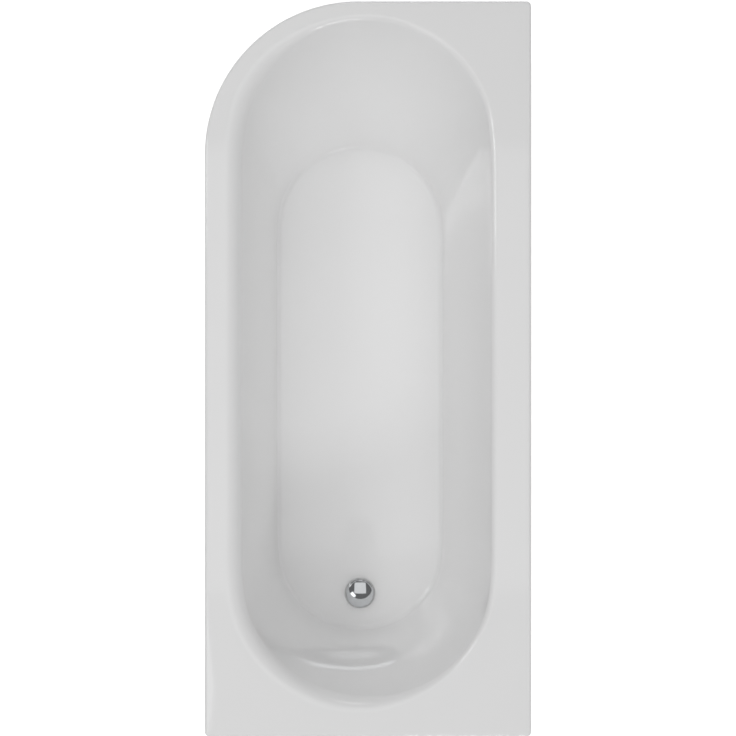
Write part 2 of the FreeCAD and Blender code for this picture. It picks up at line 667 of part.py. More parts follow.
def baseboard():
    board = new_body("baseboard")
    reaches = [f"( {reach} - board_inset )" for reach in (FLOOR_FRONT, FLOOR_WALL, FLOOR_HEAD, FLOOR_FOOT)]
    plan = stadium(new_sketch(board, "board_plan", "XY_Plane", BOARD_BOTTOM), *reaches)
    pad(board, plan, "board_thickness")
    opening = new_sketch(board, "board_opening", "XY_Plane", BOARD_TOP)
    circles(opening, "board_hole", [(FLOOR_MIDDLE, WASTE_Y)])
    pocket(board, opening, "board_thickness")
    pilots = new_sketch(board, "board_pilots", "XY_Plane", BOARD_BOTTOM)
    circles(pilots, PILOT, cradle_screw_spots() + hat_screw_spots())
    pocket(board, pilots, "screw_length", reverse=True)
    return board


def batten(label, length, width, x, y, screws=()):
    """Timber glued under the deck, with pilot holes from below."""
    timber = new_body(label)
    corners = (("0", "0"), (length, "0"), (length, width), ("0", width))
    pad(timber, polygon(new_sketch(timber, f"{label}_plan", "XY_Plane"), corners), "batten_height")
    if screws:
        pilots = circles(new_sketch(timber, f"{label}_pilots", "XY_Plane"), PILOT, screws)
        pocket(timber, pilots, "screw_length", reverse=True)
    return place(timber, x, y, BATTEN_BOTTOM)


CLIPS = 4
BRACKETS = (("head", "bracket_spread"), ("foot", "-1 * bracket_spread"))
SIDE_START = f"( batten_inset + batten_width + batten_joint - {HALF_LENGTH} )"
FRONT_LENGTH = f"( {HALF_LENGTH} - free_corner_radius - {SIDE_START} )"
WALL_LENGTH = f"( {HALF_LENGTH} - batten_inset - {SIDE_START} )"


def clip_places():
    """Clips along the front batten, measured from its foot end."""
    return [f"{FRONT_LENGTH} / 2 + ( {k} - {(CLIPS - 1) / 2} ) * clip_pitch" for k in range(CLIPS)]


def bracket_screw_places():
    """Screws of the wall brackets along the wall batten, measured from its foot end."""
    places = []
    for _, spread in BRACKETS:
        for sign in ("+", "-"):
            places.append(f"{spread} - {SIDE_START} {sign} bracket_screw_pitch / 2")
    return places


def rim_battens():
    middle = "batten_width / 2"
    front_screws = [(middle, along) for along in clip_places()]
    wall_screws = [(middle, along) for along in bracket_screw_places()]
    span = f"2 * ( {HALF_WIDTH} - batten_inset - batten_width - batten_joint )"
    return [
        batten("rim_batten_front", "batten_width", FRONT_LENGTH, FRONT_BATTEN_X, SIDE_START, front_screws),
        batten("rim_batten_wall", "batten_width", WALL_LENGTH, WALL_BATTEN_X, SIDE_START, wall_screws),
        batten("rim_batten_foot", span, "batten_width", f"-1 * {span} / 2", f"batten_inset - {HALF_LENGTH}"),
    ]


def cradle(label, y):
    """Folded channel, open below, across the baseboard; its ends reach past the well and carry two legs."""
    channel = new_body(label)
    half = "( channel_width / 2 )"
    inner = f"( {half} - channel_wall )"
    corners = (
        (f"-1 * {half}", "0"),
        (half, "0"),
        (half, "-1 * channel_height"),
        (inner, "-1 * channel_height"),
        (inner, "-1 * channel_wall"),
        (f"-1 * {inner}", "-1 * channel_wall"),
        (f"-1 * {inner}", "-1 * channel_height"),
        (f"-1 * {half}", "-1 * channel_height"),
    )
    profile = polygon(new_sketch(channel, f"{label}_profile", "YZ_Plane"), corners)
    pad(channel, profile, "channel_length", symmetric=True)
    rods = [("leg_spread", "0"), ("-1 * leg_spread", "0")]
    rod_holes = circles(new_sketch(channel, f"{label}_rod_holes", "XY_Plane"), ROD_HOLE, rods)
    pocket(channel, rod_holes, "channel_wall")
    reaches = ("cradle_screw_near", "cradle_screw_far", "-1 * cradle_screw_near", "-1 * cradle_screw_far")
    screws = [(reach, "0") for reach in reaches]
    holes = circles(new_sketch(channel, f"{label}_screw_holes", "XY_Plane"), SCREW_HOLE, screws)
    pocket(channel, holes, "channel_wall")
    return place(channel, FLOOR_MIDDLE, y, BOARD_BOTTOM)


def centre_bracket():
    """Folded hat under the middle of the baseboard, deep enough for the fifth leg."""
    hat = new_body("centre_bracket")
    box, edge, depth = "( hat_width / 2 )", "( hat_width / 2 + hat_flange )", "hat_depth"
    inner = f"( {box} - channel_wall )"
    corners = [
        (edge, "0"),
        (inner, "0"),
        (inner, f"channel_wall - {depth}"),
        (f"-1 * {inner}", f"channel_wall - {depth}"),
        (f"-1 * {inner}", "0"),
        (f"-1 * {edge}", "0"),
        (f"-1 * {edge}", "-1 * channel_wall"),
        (f"-1 * {box}", "-1 * channel_wall"),
        (f"-1 * {box}", f"-1 * {depth}"),
        (box, f"-1 * {depth}"),
        (box, "-1 * channel_wall"),
        (edge, "-1 * channel_wall"),
    ]
    pad(hat, polygon(new_sketch(hat, "hat_profile", "XZ_Plane"), corners), "channel_width", symmetric=True)
    rod = new_sketch(hat, "hat_rod_hole", "XY_Plane", f"channel_wall - {depth}")
    pocket(hat, circles(rod, ROD_HOLE, [("0", "0")]), "channel_wall")
    reach = "( hat_width / 2 + hat_flange / 2 )"
    screws = new_sketch(hat, "hat_screw_holes", "XY_Plane")
    circles(screws, SCREW_HOLE, [(reach, "0"), (f"-1 * {reach}", "0")])
    pocket(hat, screws, "channel_wall")
    return place(hat, FLOOR_MIDDLE, "0", BOARD_BOTTOM)


def wood_screw(label, x, y, under_head):
    """Hexagon-headed screw pointing up, its head's upper face at the given level."""
    shank = cylinder(f"{label}_shank", "screw_shank", "screw_length - screw_play", x, y, under_head)
    head = hexagon(f"{label}_head", "screw_head", "screw_head_height")
    place(head, x, y, f"{under_head} - screw_head_height")
    return fuse(label, shank, head)


def screws():
    cradle_level = f"( {BOARD_BOTTOM} - channel_wall )"
    cradle_set = [
        wood_screw(f"cradle_screw_{k}", x, y, cradle_level)
        for k, (x, y) in enumerate(cradle_screw_spots() + hat_screw_spots())
    ]
    middle = "( batten_width / 2 )"
    clip_level = f"( {BATTEN_BOTTOM} - clip_tab_height )"
    clip_set = [
        wood_screw(f"clip_screw_{k}", f"{FRONT_BATTEN_X} + {middle}", f"{SIDE_START} + {along}", clip_level)
        for k, along in enumerate(clip_places())
    ]
    bracket_level = f"( {BATTEN_BOTTOM} - bracket_sheet )"
    bracket_line = f"{WALL_BATTEN_X} + {middle}"
    bracket_set = [
        wood_screw(f"bracket_screw_{k}", bracket_line, f"{SIDE_START} + {along}", bracket_level)
        for k, along in enumerate(bracket_screw_places())
    ]
    return [
        group("cradle_screws", cradle_set),
        group("clip_screws", clip_set),
        group("bracket_screws", bracket_set),
    ]


def leg(tag, x, y, web_top):
    """Levelling leg: threaded rod in a plastic foot, with a nut above and a nut below the steel."""
    radius = "( rod_diameter / 2 )"
    bottom = "( foot_height - socket_depth )"
    top = f"( {web_top} + nut_height + rod_stock )"
    rod = turned(
        f"leg_rod_{tag}",
        (
            ("0", bottom),
            (f"{radius} - rod_bevel", bottom),
            (radius, f"{bottom} + rod_bevel"),
            (radius, f"{top} - rod_bevel"),
            (f"{radius} - rod_bevel", top),
            ("0", top),
        ),
        x,
        y,
    )
    socket = f"( {radius} + socket_play )"
    pad_foot = turned(
        f"foot_pad_{tag}",
        (
            ("0", "0"),
            ("foot_diameter / 2", "0"),
            ("foot_diameter / 2", "foot_edge"),
            ("foot_boss / 2", "foot_edge + foot_slope"),
            ("foot_boss / 2", "foot_height"),
            (socket, "foot_height"),
            (socket, bottom),
            ("0", bottom),
        ),
        x,
        y,
    )
    bore = "rod_diameter + 2 * rod_clearance"
    upper = hex_nut(f"upper_nut_{tag}", "nut_flats", bore, "nut_height", x, y, web_top)
    lower_level = f"{web_top} - channel_wall - nut_height"
    lower = hex_nut(f"lower_nut_{tag}", "nut_flats", bore, "nut_height", x, y, lower_level)
    return [rod, pad_foot, group(f"leg_nuts_{tag}", [upper, lower])]


def legs():
    pieces = leg("centre", FLOOR_MIDDLE, "0", HAT_LEVEL)
    for end, y in (("head", "channel_spread"), ("foot", "-1 * channel_spread")):
        for side, sign in (("front", "-"), ("wall", "+")):
            pieces += leg(f"{end}_{side}", f"{FLOOR_MIDDLE} {sign} leg_spread", y, BOARD_BOTTOM)
    return pieces


def waste_ring(label, outer, inner, bottom, height):
    top = f"{bottom} + {height}"
    corners = ((inner, bottom), (outer, bottom), (outer, top), (inner, top))
    return turned(label, corners, FLOOR_MIDDLE, WASTE_Y)


def waste_flange():
    """Chrome flange with a shallow dish, a threaded tail and a three-armed bridge for the cartridge."""
    tail, bore = "( tail_diameter / 2 )", "( tail_bore / 2 )"
    rim, dish = "( flange_diameter / 2 )", "( dish_diameter / 2 )"
    union_top = f"( {TAIL_END} + union_length )"
    body = turned(
        "waste_flange",
        (
            (rim, FLANGE_BASE),
            (rim, f"{FLANGE_BASE} + flange_edge"),
            (f"{dish} + flange_edge", FLANGE_TOP),
            (dish, FLANGE_TOP),
            (bore, f"{FLANGE_TOP} - dish_depth"),
            (bore, TAIL_END),
            (tail, TAIL_END),
            (tail, union_top),
            (f"{tail} - groove_depth", union_top),
            (f"{tail} - groove_depth", f"{union_top} + groove_width"),
            (tail, f"{union_top} + groove_width"),
            (tail, FLANGE_BASE),
        ),
        FLOOR_MIDDLE,
        WASTE_Y,
    )
    reach = f"( ( {tail} + {bore} ) / 2 )"
    half = "( bridge_width / 2 )"
    sketch = new_sketch(body, "bridge_arm", "XY_Plane", BRIDGE_TOP)
    polygon(sketch, (("0", f"-1 * {half}"), (reach, f"-1 * {half}"), (reach, half), ("0", half)))
    arm = pad(body, sketch, "bridge_height", reverse=True)
    arms = body.newObject("PartDesign::PolarPattern", "bridge_arms")
    arms.Originals = [arm]
    arms.Axis = (sketch, ["N_Axis"])
    arms.Angle = 360
    arms.Occurrences = 3
    body.Tip = arms
    boss = circles(new_sketch(body, "bridge_boss", "XY_Plane", BRIDGE_TOP), "cartridge_collar", [("0", "0")])
    pad(body, boss, "bridge_height", reverse=True)
    bed = new_sketch(body, "bridge_bore", "XY_Plane", BRIDGE_TOP)
    circles(bed, "cartridge_diameter + 2 * cartridge_play", [("0", "0")])
    pocket(body, bed, "bridge_height")
    return body


def waste_clamp():
    """Seal above the floor; washers and back nut below it."""
    inner = "( tail_diameter / 2 + tail_play )"
    outer = "( seal_diameter / 2 )"
    under = f"( {BOARD_TOP} - under_thickness )"
    slip = f"( {under} - slip_thickness )"
    nut_bore = "tail_diameter + 2 * tail_play"
    nut_spot = (FLOOR_MIDDLE, WASTE_Y, f"{slip} - back_nut_height")
    return [
        waste_ring("flange_seal", outer, inner, SEAT, "seal_thickness"),
        waste_ring("under_washer", outer, inner, under, "under_thickness"),
        waste_ring("slip_washer", outer, inner, slip, "slip_thickness"),
        hex_nut("back_nut", "back_nut_flats", nut_bore, "back_nut_height", *nut_spot),
    ]


def cartridge():
    outer, bore = "( cartridge_diameter / 2 )", "( cartridge_bore / 2 )"
    guide = "( plunger_diameter / 2 + plunger_play )"
    return turned(
        "cartridge_body",
        (
            ("0", CARTRIDGE_END),
            (outer, CARTRIDGE_END),
            (outer, BRIDGE_TOP),
            ("cartridge_collar / 2", BRIDGE_TOP),
            ("cartridge_collar / 2", CARTRIDGE_TOP),
            (guide, CARTRIDGE_TOP),
            (guide, NECK_BOTTOM),
            (bore, NECK_BOTTOM),
            (bore, SPRING_FOOT),
            ("0", SPRING_FOOT),
        ),
        FLOOR_MIDDLE,
        WASTE_Y,
    )


def plunger():
    stem, collar, guide = "( plunger_diameter / 2 )", "( plunger_collar / 2 )", "( guide_diameter / 2 )"
    tip = f"( {COLLAR_BOTTOM} - guide_length )"
    return turned(
        "plunger",
        (
            ("0", tip),
            (guide, tip),
            (guide, COLLAR_BOTTOM),
            (collar, COLLAR_BOTTOM),
            (collar, COLLAR_TOP),
            (stem, COLLAR_TOP),
            (stem, PLUNGER_TOP),
            ("0", PLUNGER_TOP),
        ),
        FLOOR_MIDDLE,
        WASTE_Y,
    )


def plug_cap():
    """Chrome dome on a short rim, hollow below for its rubber ring, with a boss on the plunger."""
    body = new_body("plug_cap")
    sketch = new_sketch(body, "cap_profile", "XZ_Plane")
    edge, inner, boss = "( cap_diameter / 2 )", "( cap_diameter / 2 - cap_rim_width )", "( cap_boss / 2 )"
    socket = "( plunger_diameter / 2 + plunger_play )"
    boss_end = f"( {CAP_HOLLOW} - cap_boss_length )"
    shoulder = f"( {edge} - cap_bevel )"
    corners = (
        (shoulder, CAP_SHOULDER),
        (edge, f"{CAP_SHOULDER} - cap_bevel"),
        (edge, CAP_BOTTOM),
        (inner, CAP_BOTTOM),
        (inner, CAP_HOLLOW),
        (boss, CAP_HOLLOW),
        (boss, boss_end),
        (socket, boss_end),
        (socket, PLUNGER_TOP),
        ("0", PLUNGER_TOP),
        ("0", CAP_TOP),
    )
    points = [Vector(value(x), value(y), 0) for x, y in corners]
    for start, end in zip(points, points[1:]):
        sketch.addGeometry(Part.LineSegment(start, end))
    reach, crown = value(shoulder), value("cap_crown")
    radius = (reach * reach + crown * crown) / (2 * crown)
    half = math.asin(reach / radius)
    circle = Part.Circle(Vector(0, value(CAP_TOP) - radius, 0), Vector(0, 0, 1), radius)
    dome = sketch.addGeometry(Part.ArcOfCircle(circle, math.pi / 2 - half, math.pi / 2))
    for k in range(dome - 1):
        sketch.addConstraint(Sketcher.Constraint("Coincident", k, LINE_END, k + 1, LINE_START))
    sketch.addConstraint(Sketcher.Constraint("Coincident", dome, LINE_START, 0, LINE_START))
    sketch.addConstraint(Sketcher.Constraint("Coincident", dome, LINE_END, dome - 1, LINE_END))
    sketch.addConstraint(Sketcher.Constraint("PointOnObject", dome, CENTRE, Y_AXIS))
    for k, (x, y) in enumerate(corners[:-1]):
        pin(sketch, (k, LINE_START), x, y)
    pin(sketch, (dome - 1, LINE_END), *corners[-1])
    turn = body.newObject("PartDesign::Revolution", "cap_turn")
    turn.Profile = sketch
    turn.ReferenceAxis = (sketch, ["V_Axis"])
    turn.Angle = 360
    return place(body, FLOOR_MIDDLE, WASTE_Y)


def plug_seal():
    height = f"{CAP_HOLLOW} - {CAP_BOTTOM}"
    return waste_ring("plug_seal", "( plug_seal_outer / 2 )", "( plug_seal_inner / 2 )", CAP_BOTTOM, height)


# Straight runs in each turn of the coil
COIL_STEPS = 12


def plug_spring():
    """Coil between the cartridge's floor and the plunger's collar, ruled through six-sided wire sections."""
    wire, mean, turns = value("spring_wire"), value("spring_mean"), value("spring_turns")
    rise = value(COLLAR_BOTTOM) - value(SPRING_FOOT) - wire
    steps = round(turns * COIL_STEPS)
    up = Vector(0, 0, 1)
    sections = []
    for k in range(steps + 1):
        turn = 2 * math.pi * turns * k / steps
        outward = Vector(math.cos(turn), math.sin(turn), 0)
        middle = outward * (mean / 2) + up * (rise * k / steps)
        sixths = [math.pi / 3 * corner for corner in range(7)]
        corners = [middle + (outward * math.cos(a) + up * math.sin(a)) * (wire / 2) for a in sixths]
        sections.append(Part.makePolygon(corners))
    feature = DOCUMENT.addObject("Part::Feature", "plug_spring")
    feature.Label = "plug_spring"
    feature.Shape = Part.makeLoft(sections, True, True)
    return place(feature, FLOOR_MIDDLE, WASTE_Y, f"{SPRING_FOOT} + spring_wire / 2")


def front_panel():
    """Curved skirt tucked behind the lip on the two free sides, folded inwards along the floor."""
    skirt = new_body("front_panel")
    heights = (f"{DECK_UNDERSIDE} - panel_top_gap - panel_floor_gap", "panel_thickness")
    for name, width, height in zip(("wall", "fold"), ("panel_thickness", "panel_return"), heights):
        strip = new_sketch(skirt, f"skirt_{name}", "XY_Plane", "panel_floor_gap")
        pad(skirt, corner_strip(strip, PANEL_INSET, width), height)
    return skirt


def panel_clips():
    """Angle clips that fill the gap between the front batten and the panel."""
    plate = f"( batten_inset - {PANEL_INSET} - panel_thickness - panel_gap )"
    corners = (
        (f"-1 * {plate}", "-1 * clip_drop"),
        ("0", "-1 * clip_drop"),
        ("0", "-1 * clip_tab_height"),
        ("clip_tab", "-1 * clip_tab_height"),
        ("clip_tab", "0"),
        ("0", "0"),
        ("0", "clip_rise"),
        (f"-1 * {plate}", "clip_rise"),
    )
    members = []
    for k, along in enumerate(clip_places()):
        clip = new_body(f"panel_clip_{k}")
        profile = polygon(new_sketch(clip, f"clip_profile_{k}", "XZ_Plane"), corners)
        pad(clip, profile, "clip_length", symmetric=True)
        hole = new_sketch(clip, f"clip_hole_{k}", "XY_Plane")
        pocket(clip, circles(hole, SCREW_HOLE, [("batten_width / 2", "0")]), "clip_tab_height")
        members.append(place(clip, FRONT_BATTEN_X, f"{SIDE_START} + {along}", BATTEN_BOTTOM))
    return group("panel_clips", members)


def wall_bracket(label, spread):
    """Angle bracket screwed under the wall batten, its face in the plane of the wall."""
    body = new_body(label)
    corners = (
        ("0", "0"),
        ("0", "-1 * bracket_drop"),
        ("-1 * bracket_sheet", "-1 * bracket_drop"),
        ("-1 * bracket_sheet", "-1 * bracket_sheet"),
        ("-1 * bracket_reach", "-1 * bracket_sheet"),
        ("-1 * bracket_reach", "0"),
    )
    profile = polygon(new_sketch(body, f"{label}_profile", "XZ_Plane"), corners)
    pad(body, profile, "bracket_length", symmetric=True)
    heights = [("0", f"-1 * bracket_hole_drop {sign} bracket_hole_pitch / 2") for sign in ("+", "-")]
    wall_holes = circles(new_sketch(body, f"{label}_wall_holes", "YZ_Plane"), "bracket_hole", heights)
    pocket(body, wall_holes, "bracket_sheet")
    inset = "-1 * ( batten_inset + batten_width / 2 )"
    places = [(inset, f"{sign} bracket_screw_pitch / 2") for sign in ("1 *", "-1 *")]
    holes = circles(new_sketch(body, f"{label}_batten_holes", "XY_Plane"), SCREW_HOLE, places)
    pocket(body, holes, "bracket_sheet")
    return place(body, HALF_WIDTH, spread, BATTEN_BOTTOM)


def build():
    shell, back, hole = moulded_shell()
    pieces = [shell, glass_fibre(back, hole), baseboard()]
    pieces += rim_battens()
    pieces += [cradle("cradle_head", "channel_spread"), cradle("cradle_foot", "-1 * channel_spread")]
    pieces += [centre_bracket()]
    pieces += screws()
    pieces += legs()
    pieces += [waste_flange()] + waste_clamp()
    pieces += [cartridge(), plug_spring(), plunger(), plug_cap(), plug_seal()]
    pieces += [front_panel(), panel_clips()]
    pieces += [wall_bracket(f"wall_bracket_{end}", spread) for end, spread in BRACKETS]
    return pieces


def write(pieces):
    DOCUMENT.recompute()
    for thing in DOCUMENT.Objects:
        if "Invalid" in thing.State or "Error" in thing.State:
            raise RuntimeError(f"{thing.Label} did not build: {thing.State}")
    os.makedirs("parts", exist_ok=True)
    for piece in pieces:
        shape = piece.Shape
        if shape.isNull() or not shape.isValid() or not shape.Solids:
            raise RuntimeError(f"{piece.Label} has no valid solid")
        shape.exportStep(f"parts/{piece.Label}.step")


write(build())
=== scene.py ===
"""Bathtub with one rounded free corner, on levelling legs, with a press-to-open waste.

Lengths are written in millimetres and put into the meshes in metres, in the frame of the solids: +X towards
the long wall, +Y towards the head, +Z up, the feet on Z = 0. Materials, lamps and the camera are in metres.
"""
import json
import math

import bpy
import numpy as np
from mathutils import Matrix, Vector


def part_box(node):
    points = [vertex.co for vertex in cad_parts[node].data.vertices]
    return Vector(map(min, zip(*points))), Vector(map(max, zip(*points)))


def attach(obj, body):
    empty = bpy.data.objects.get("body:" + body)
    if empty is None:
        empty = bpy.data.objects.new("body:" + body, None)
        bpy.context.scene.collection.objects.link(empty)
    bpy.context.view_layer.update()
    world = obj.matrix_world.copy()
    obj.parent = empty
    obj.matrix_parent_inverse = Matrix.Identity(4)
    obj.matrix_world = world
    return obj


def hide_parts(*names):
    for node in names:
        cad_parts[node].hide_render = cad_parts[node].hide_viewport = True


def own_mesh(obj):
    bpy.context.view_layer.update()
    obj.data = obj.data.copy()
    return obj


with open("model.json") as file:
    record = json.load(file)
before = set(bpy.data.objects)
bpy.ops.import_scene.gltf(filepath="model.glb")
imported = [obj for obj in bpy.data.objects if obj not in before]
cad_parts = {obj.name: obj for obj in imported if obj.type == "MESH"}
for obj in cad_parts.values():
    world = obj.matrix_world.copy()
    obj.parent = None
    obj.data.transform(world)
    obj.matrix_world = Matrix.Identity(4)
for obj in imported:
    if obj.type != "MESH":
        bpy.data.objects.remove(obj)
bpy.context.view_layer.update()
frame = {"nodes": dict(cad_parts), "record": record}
MM = 0.001

# Sizes: round pieces are given by their radii, and levels by their height over the floor of the room

# Deck, with its one round corner and its turned-down edge
HALF_WIDTH, HALF_LENGTH, RIM = 377.5, 850.0, 560.0
FREE_CORNER, SQUARE_CORNER = 355.0, 12.0
SHEET, EDGE, LIP_MIDDLE, LIP_BOTTOM = 5.0, 8.0, 540.0, 528.0

# Well: the opening and the floor by their reaches to the front, the wall, the head and the foot
WELL = (300.0, 288.0, 809.0, 766.0)
FLOOR = (236.0, 194.0, 581.0, 681.0)
FLOOR_LEVEL, FLOOR_SLOPE = 145.0, 10.0 / 1169.0
EASING = 150.0

# Rolls: the lip softens as its normal leans from the crisp side to the soft side
SOFT_ROLL, CRISP_ROLL, HEEL_ROLL = 34.0, 11.0, 11.0
SOFT_SIDE, SOFTENS_AT, SOFT_AT = np.array([-0.88, -0.475]), -0.3, 0.8
ROLL_CHANGE, CONIC_WEIGHT = 0.8, 0.78

# Glass fibre on the back, and the board under it
BACKING, BACKING_TOP, BOARD_TOP, LUMPS = 3.0, 505.0, 135.0, 0.9

# Waste: its hole, its seat in the floor, the sump under that, the flange, the tail and the bridge in it
WASTE = np.array([-21.0, -588.0])
HOLE, SEAT, SEAT_RADIUS, SUMP_BOTTOM, SUMP_RADIUS = 25.3, 142.0, 39.0, 137.0, 44.0
FLANGE, FLANGE_DISH, FLANGE_UNDER, FLANGE_TOP = 36.0, 31.0, 144.0, 146.6
TAIL, TAIL_BORE, TAIL_BOTTOM, TAIL_PITCH, TAIL_DEPTH = 23.9, 21.0, 72.0, 2.309, 0.9
GROOVE, GROOVE_LOW, GROOVE_HIGH = 23.3, 115.0, 117.0
BRIDGE_LOW, BRIDGE_HIGH, BRIDGE_BORE, BRIDGE_RING, HALF_ARM = 122.0, 128.0, 8.1, 10.0, 1.5

# Plug, and its spring, which is given by its diameters
CAP, CAP_BOTTOM, CAP_TOP, CAP_UNDER = 35.0, 156.0, 165.0, 158.1
DOME_SPHERE, DOME_REACH, CAP_SHOULDER, CAP_HOLLOW, CAP_BOSS, CAP_BORE = 108.0, 33.4, 158.75, 31.5, 7.0, 4.1
SPRING_WIRE, SPRING_MEAN, SPRING_TURNS, PLUG_TRAVEL = 1.1, 7.8, 4.5, 9.0

# Legs and nuts
LEGS = ("centre", "head_front", "head_wall", "foot_front", "foot_wall")
ROD, ROD_END, ROD_BEVEL, ROD_PITCH, ROD_DEPTH = 5.0, 3.9, 1.0, 1.5, 0.6
FOOT, FOOT_BOSS, FOOT_SOCKET, SOCKET_DEPTH, SCALLOPS, SCALLOP = 28.0, 12.0, 5.2, 18.0, 16, 0.9
LEG_NUT, BACK_NUT = {"flats": 17.0, "bore": 5.1}, {"flats": 60.0, "bore": 24.2}
LEG_NUT_HEIGHT = 8.0

# Skirt behind the lip
SKIRT_INSET, SKIRT_SHEET, SKIRT_FOLD, SKIRT_BOTTOM, SKIRT_TOP = 5.3, 4.0, 18.0, 4.0, 552.0
SKIRT_GAP = 0.5

# Edges sharper than this stay sharp, in degrees
CREASE = 35


# Meshes


def grid_faces(rows, columns, round_rows):
    """Quads of a grid whose point (i, j) has the number i * columns + j, with columns that run round."""
    i, j = np.meshgrid(np.arange(rows if round_rows else rows - 1), np.arange(columns), indexing="ij")
    up, along = (i + 1) % rows, (j + 1) % columns
    quads = np.stack([i * columns + j, i * columns + along, up * columns + along, up * columns + j], -1)
    return quads.reshape(-1, 4)


def signed_volume(points, faces):
    """Six times the volume between the middle of the piece and flat faces with equal counts of corners."""
    corners = (points - points.mean(0))[faces]
    return np.einsum("ij,ikj->", corners.mean(1), np.cross(corners, np.roll(corners, -1, 1)))


def closed_grid(points, round_rows=True):
    """One closed skin from a grid of points (rows, columns, 3), facing outwards.

    The columns run round. Where the rows don't, the first and the last row are each closed by a flat face.
    """
    rows, columns, _ = points.shape
    flat = points.reshape(-1, 3)
    faces = grid_faces(rows, columns, round_rows)
    first = np.arange(columns)
    ends = np.stack([first[::-1], first + (rows - 1) * columns])
    if round_rows:
        ends = ends[:0]
    if signed_volume(flat, faces) + signed_volume(flat, ends) < 0:
        faces, ends = faces[:, ::-1], ends[:, ::-1]
    return flat, faces, ends


def piece(name, skins, slot, body, stands_for):
    """Object of one or more closed skins, smooth except at the crease, in the finish of its slot."""
    points, faces, count = [], [], 0
    for flat, quads, ends in skins:
        points.append(flat)
        faces += (quads + count).tolist() + (ends + count).tolist()
        count += len(flat)
    mesh = bpy.data.meshes.new(name)
    mesh.from_pydata((np.vstack(points) * MM).tolist(), [], faces)
    mesh.polygons.foreach_set("use_smooth", np.ones(len(faces), bool))
    mesh.set_sharp_from_angle(angle=math.radians(CREASE))
    mesh.materials.append(FINISHES[slot])
    made = bpy.data.objects.new(name, mesh)
    bpy.context.scene.collection.objects.link(made)
    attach(made, body)
    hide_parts(stands_for)
    return made


# The moulded well


def deck_edge(step=6.0):
    """Points and outward normals once round the deck's edge: four quarter circles joined by straight runs."""
    corners = ((1, 1, SQUARE_CORNER), (-1, 1, FREE_CORNER), (-1, -1, SQUARE_CORNER), (1, -1, SQUARE_CORNER))
    arcs = []
    for quarter, (sign_x, sign_y, radius) in enumerate(corners):
        centre = np.array([sign_x * (HALF_WIDTH - radius), sign_y * (HALF_LENGTH - radius)])
        steps = max(10, round(radius * math.pi / 2 / step))
        turn = (quarter + np.linspace(0, 1, steps + 1)) * math.pi / 2
        normal = np.stack([np.cos(turn), np.sin(turn)], 1)
        arcs.append((centre + radius * normal, normal))
    points, normals = [], []
    for (bend, normal), (following, _) in zip(arcs, arcs[1:] + arcs[:1]):
        run = following[0] - bend[-1]
        steps = round(np.linalg.norm(run) / step)
        shares = (np.arange(1, steps) / steps)[:, None]
        points += [bend, bend[-1] + shares * run]
        normals += [normal, np.repeat(normal[-1:], steps - 1, 0)]
    return np.vstack(points), np.vstack(normals)


def eased(amount):
    """Smooth step from 0 to 1: three times the square less twice the cube."""
    amount = np.clip(amount, 0, 1)
    return amount * amount * (3 - 2 * amount)


def floor_top(y):
    """Height of the floor: a straight fall towards the waste."""
    return FLOOR_LEVEL + FLOOR_SLOPE * (y - WASTE[1])


def floor_under(y):
    """Height of the floor's back, one sheet lower."""
    return floor_top(y) - SHEET


def level(height):
    """Height that is the same all along the bath."""
    return lambda y: np.full_like(y, height)


def stadium_spine(reaches):
    """Place across, lower end, upper end and radius of the spine of a stadium given by its four reaches."""
    front, wall, head, foot = reaches
    radius = (front + wall) / 2
    return (wall - front) / 2, radius - foot, head - radius, radius


def eased_stop(distance):
    """Distance left to a stop: a parabola takes it to none, from one easing before the stop to one after."""
    near = np.clip(distance, -EASING, EASING)
    return np.maximum(distance, EASING) - EASING + (near + EASING) ** 2 / (4 * EASING)


def well_stations(edge):
    """Outward normal of the opening, and place along its spine, for each point of the deck's edge.

    The place follows the point along the bath and comes to an eased stop at both ends of the spine, so the
    wall goes from flat to round little by little.
    """
    middle, lower, upper, _ = stadium_spine(WELL)
    y = edge[:, 1]
    along = lower + upper - y + eased_stop(y - lower) - eased_stop(upper - y)
    offset = edge - np.stack([np.full(len(edge), middle), along], 1)
    normal = offset / np.linalg.norm(offset, axis=1, keepdims=True)
    return normal, (along - lower) / (upper - lower)


def well_rings(normal, share, spread, floor):
    """Six rings from the deck to the floor, spread outwards from the seen surface.

    A straight line joins a stadium at deck level to a smaller one on the floor. The lip starts on the deck
    and ends on that line at an equal set-back, which eases from crisp to soft as the normal leans.
    """
    rings = []
    for reaches in (WELL, FLOOR):
        middle, lower, upper, radius = stadium_spine(reaches)
        spine = np.stack([np.full_like(share, middle), lower + (upper - lower) * share], 1)
        rings.append(spine + normal * (radius + spread))
    top = np.column_stack([rings[0], np.full_like(share, RIM - spread)])
    bottom = np.column_stack([rings[1], floor(rings[1][:, 1])])
    out = np.column_stack([normal, np.zeros_like(share)])
    along = np.column_stack([-normal[:, 1], normal[:, 0], np.zeros_like(share)])
    fall = bottom - top
    fall -= along * (fall * along).sum(1, keepdims=True)
    fall /= np.linalg.norm(fall, axis=1, keepdims=True)
    soft = eased((normal @ SOFT_SIDE - SOFTENS_AT) / (SOFT_AT - SOFTENS_AT))
    roll = (CRISP_ROLL + (SOFT_ROLL - CRISP_ROLL) * soft - ROLL_CHANGE * spread)[:, None]
    heel = HEEL_ROLL + ROLL_CHANGE * spread
    inner = bottom - out * heel
    inner[:, 2] = floor(inner[:, 1])
    return top + out * roll, top, top + fall * roll, bottom - fall * heel, bottom, inner


def conic(start, corner, end, steps):
    """Rows of a conic from start to end that leaves and arrives along the lines to the corner."""
    v = np.linspace(0, 1, steps + 1)[:, None, None]
    a, b, c = (1 - v) ** 2, 2 * CONIC_WEIGHT * v * (1 - v), v**2
    return (a * start + b * corner + c * end) / (a + b + c)


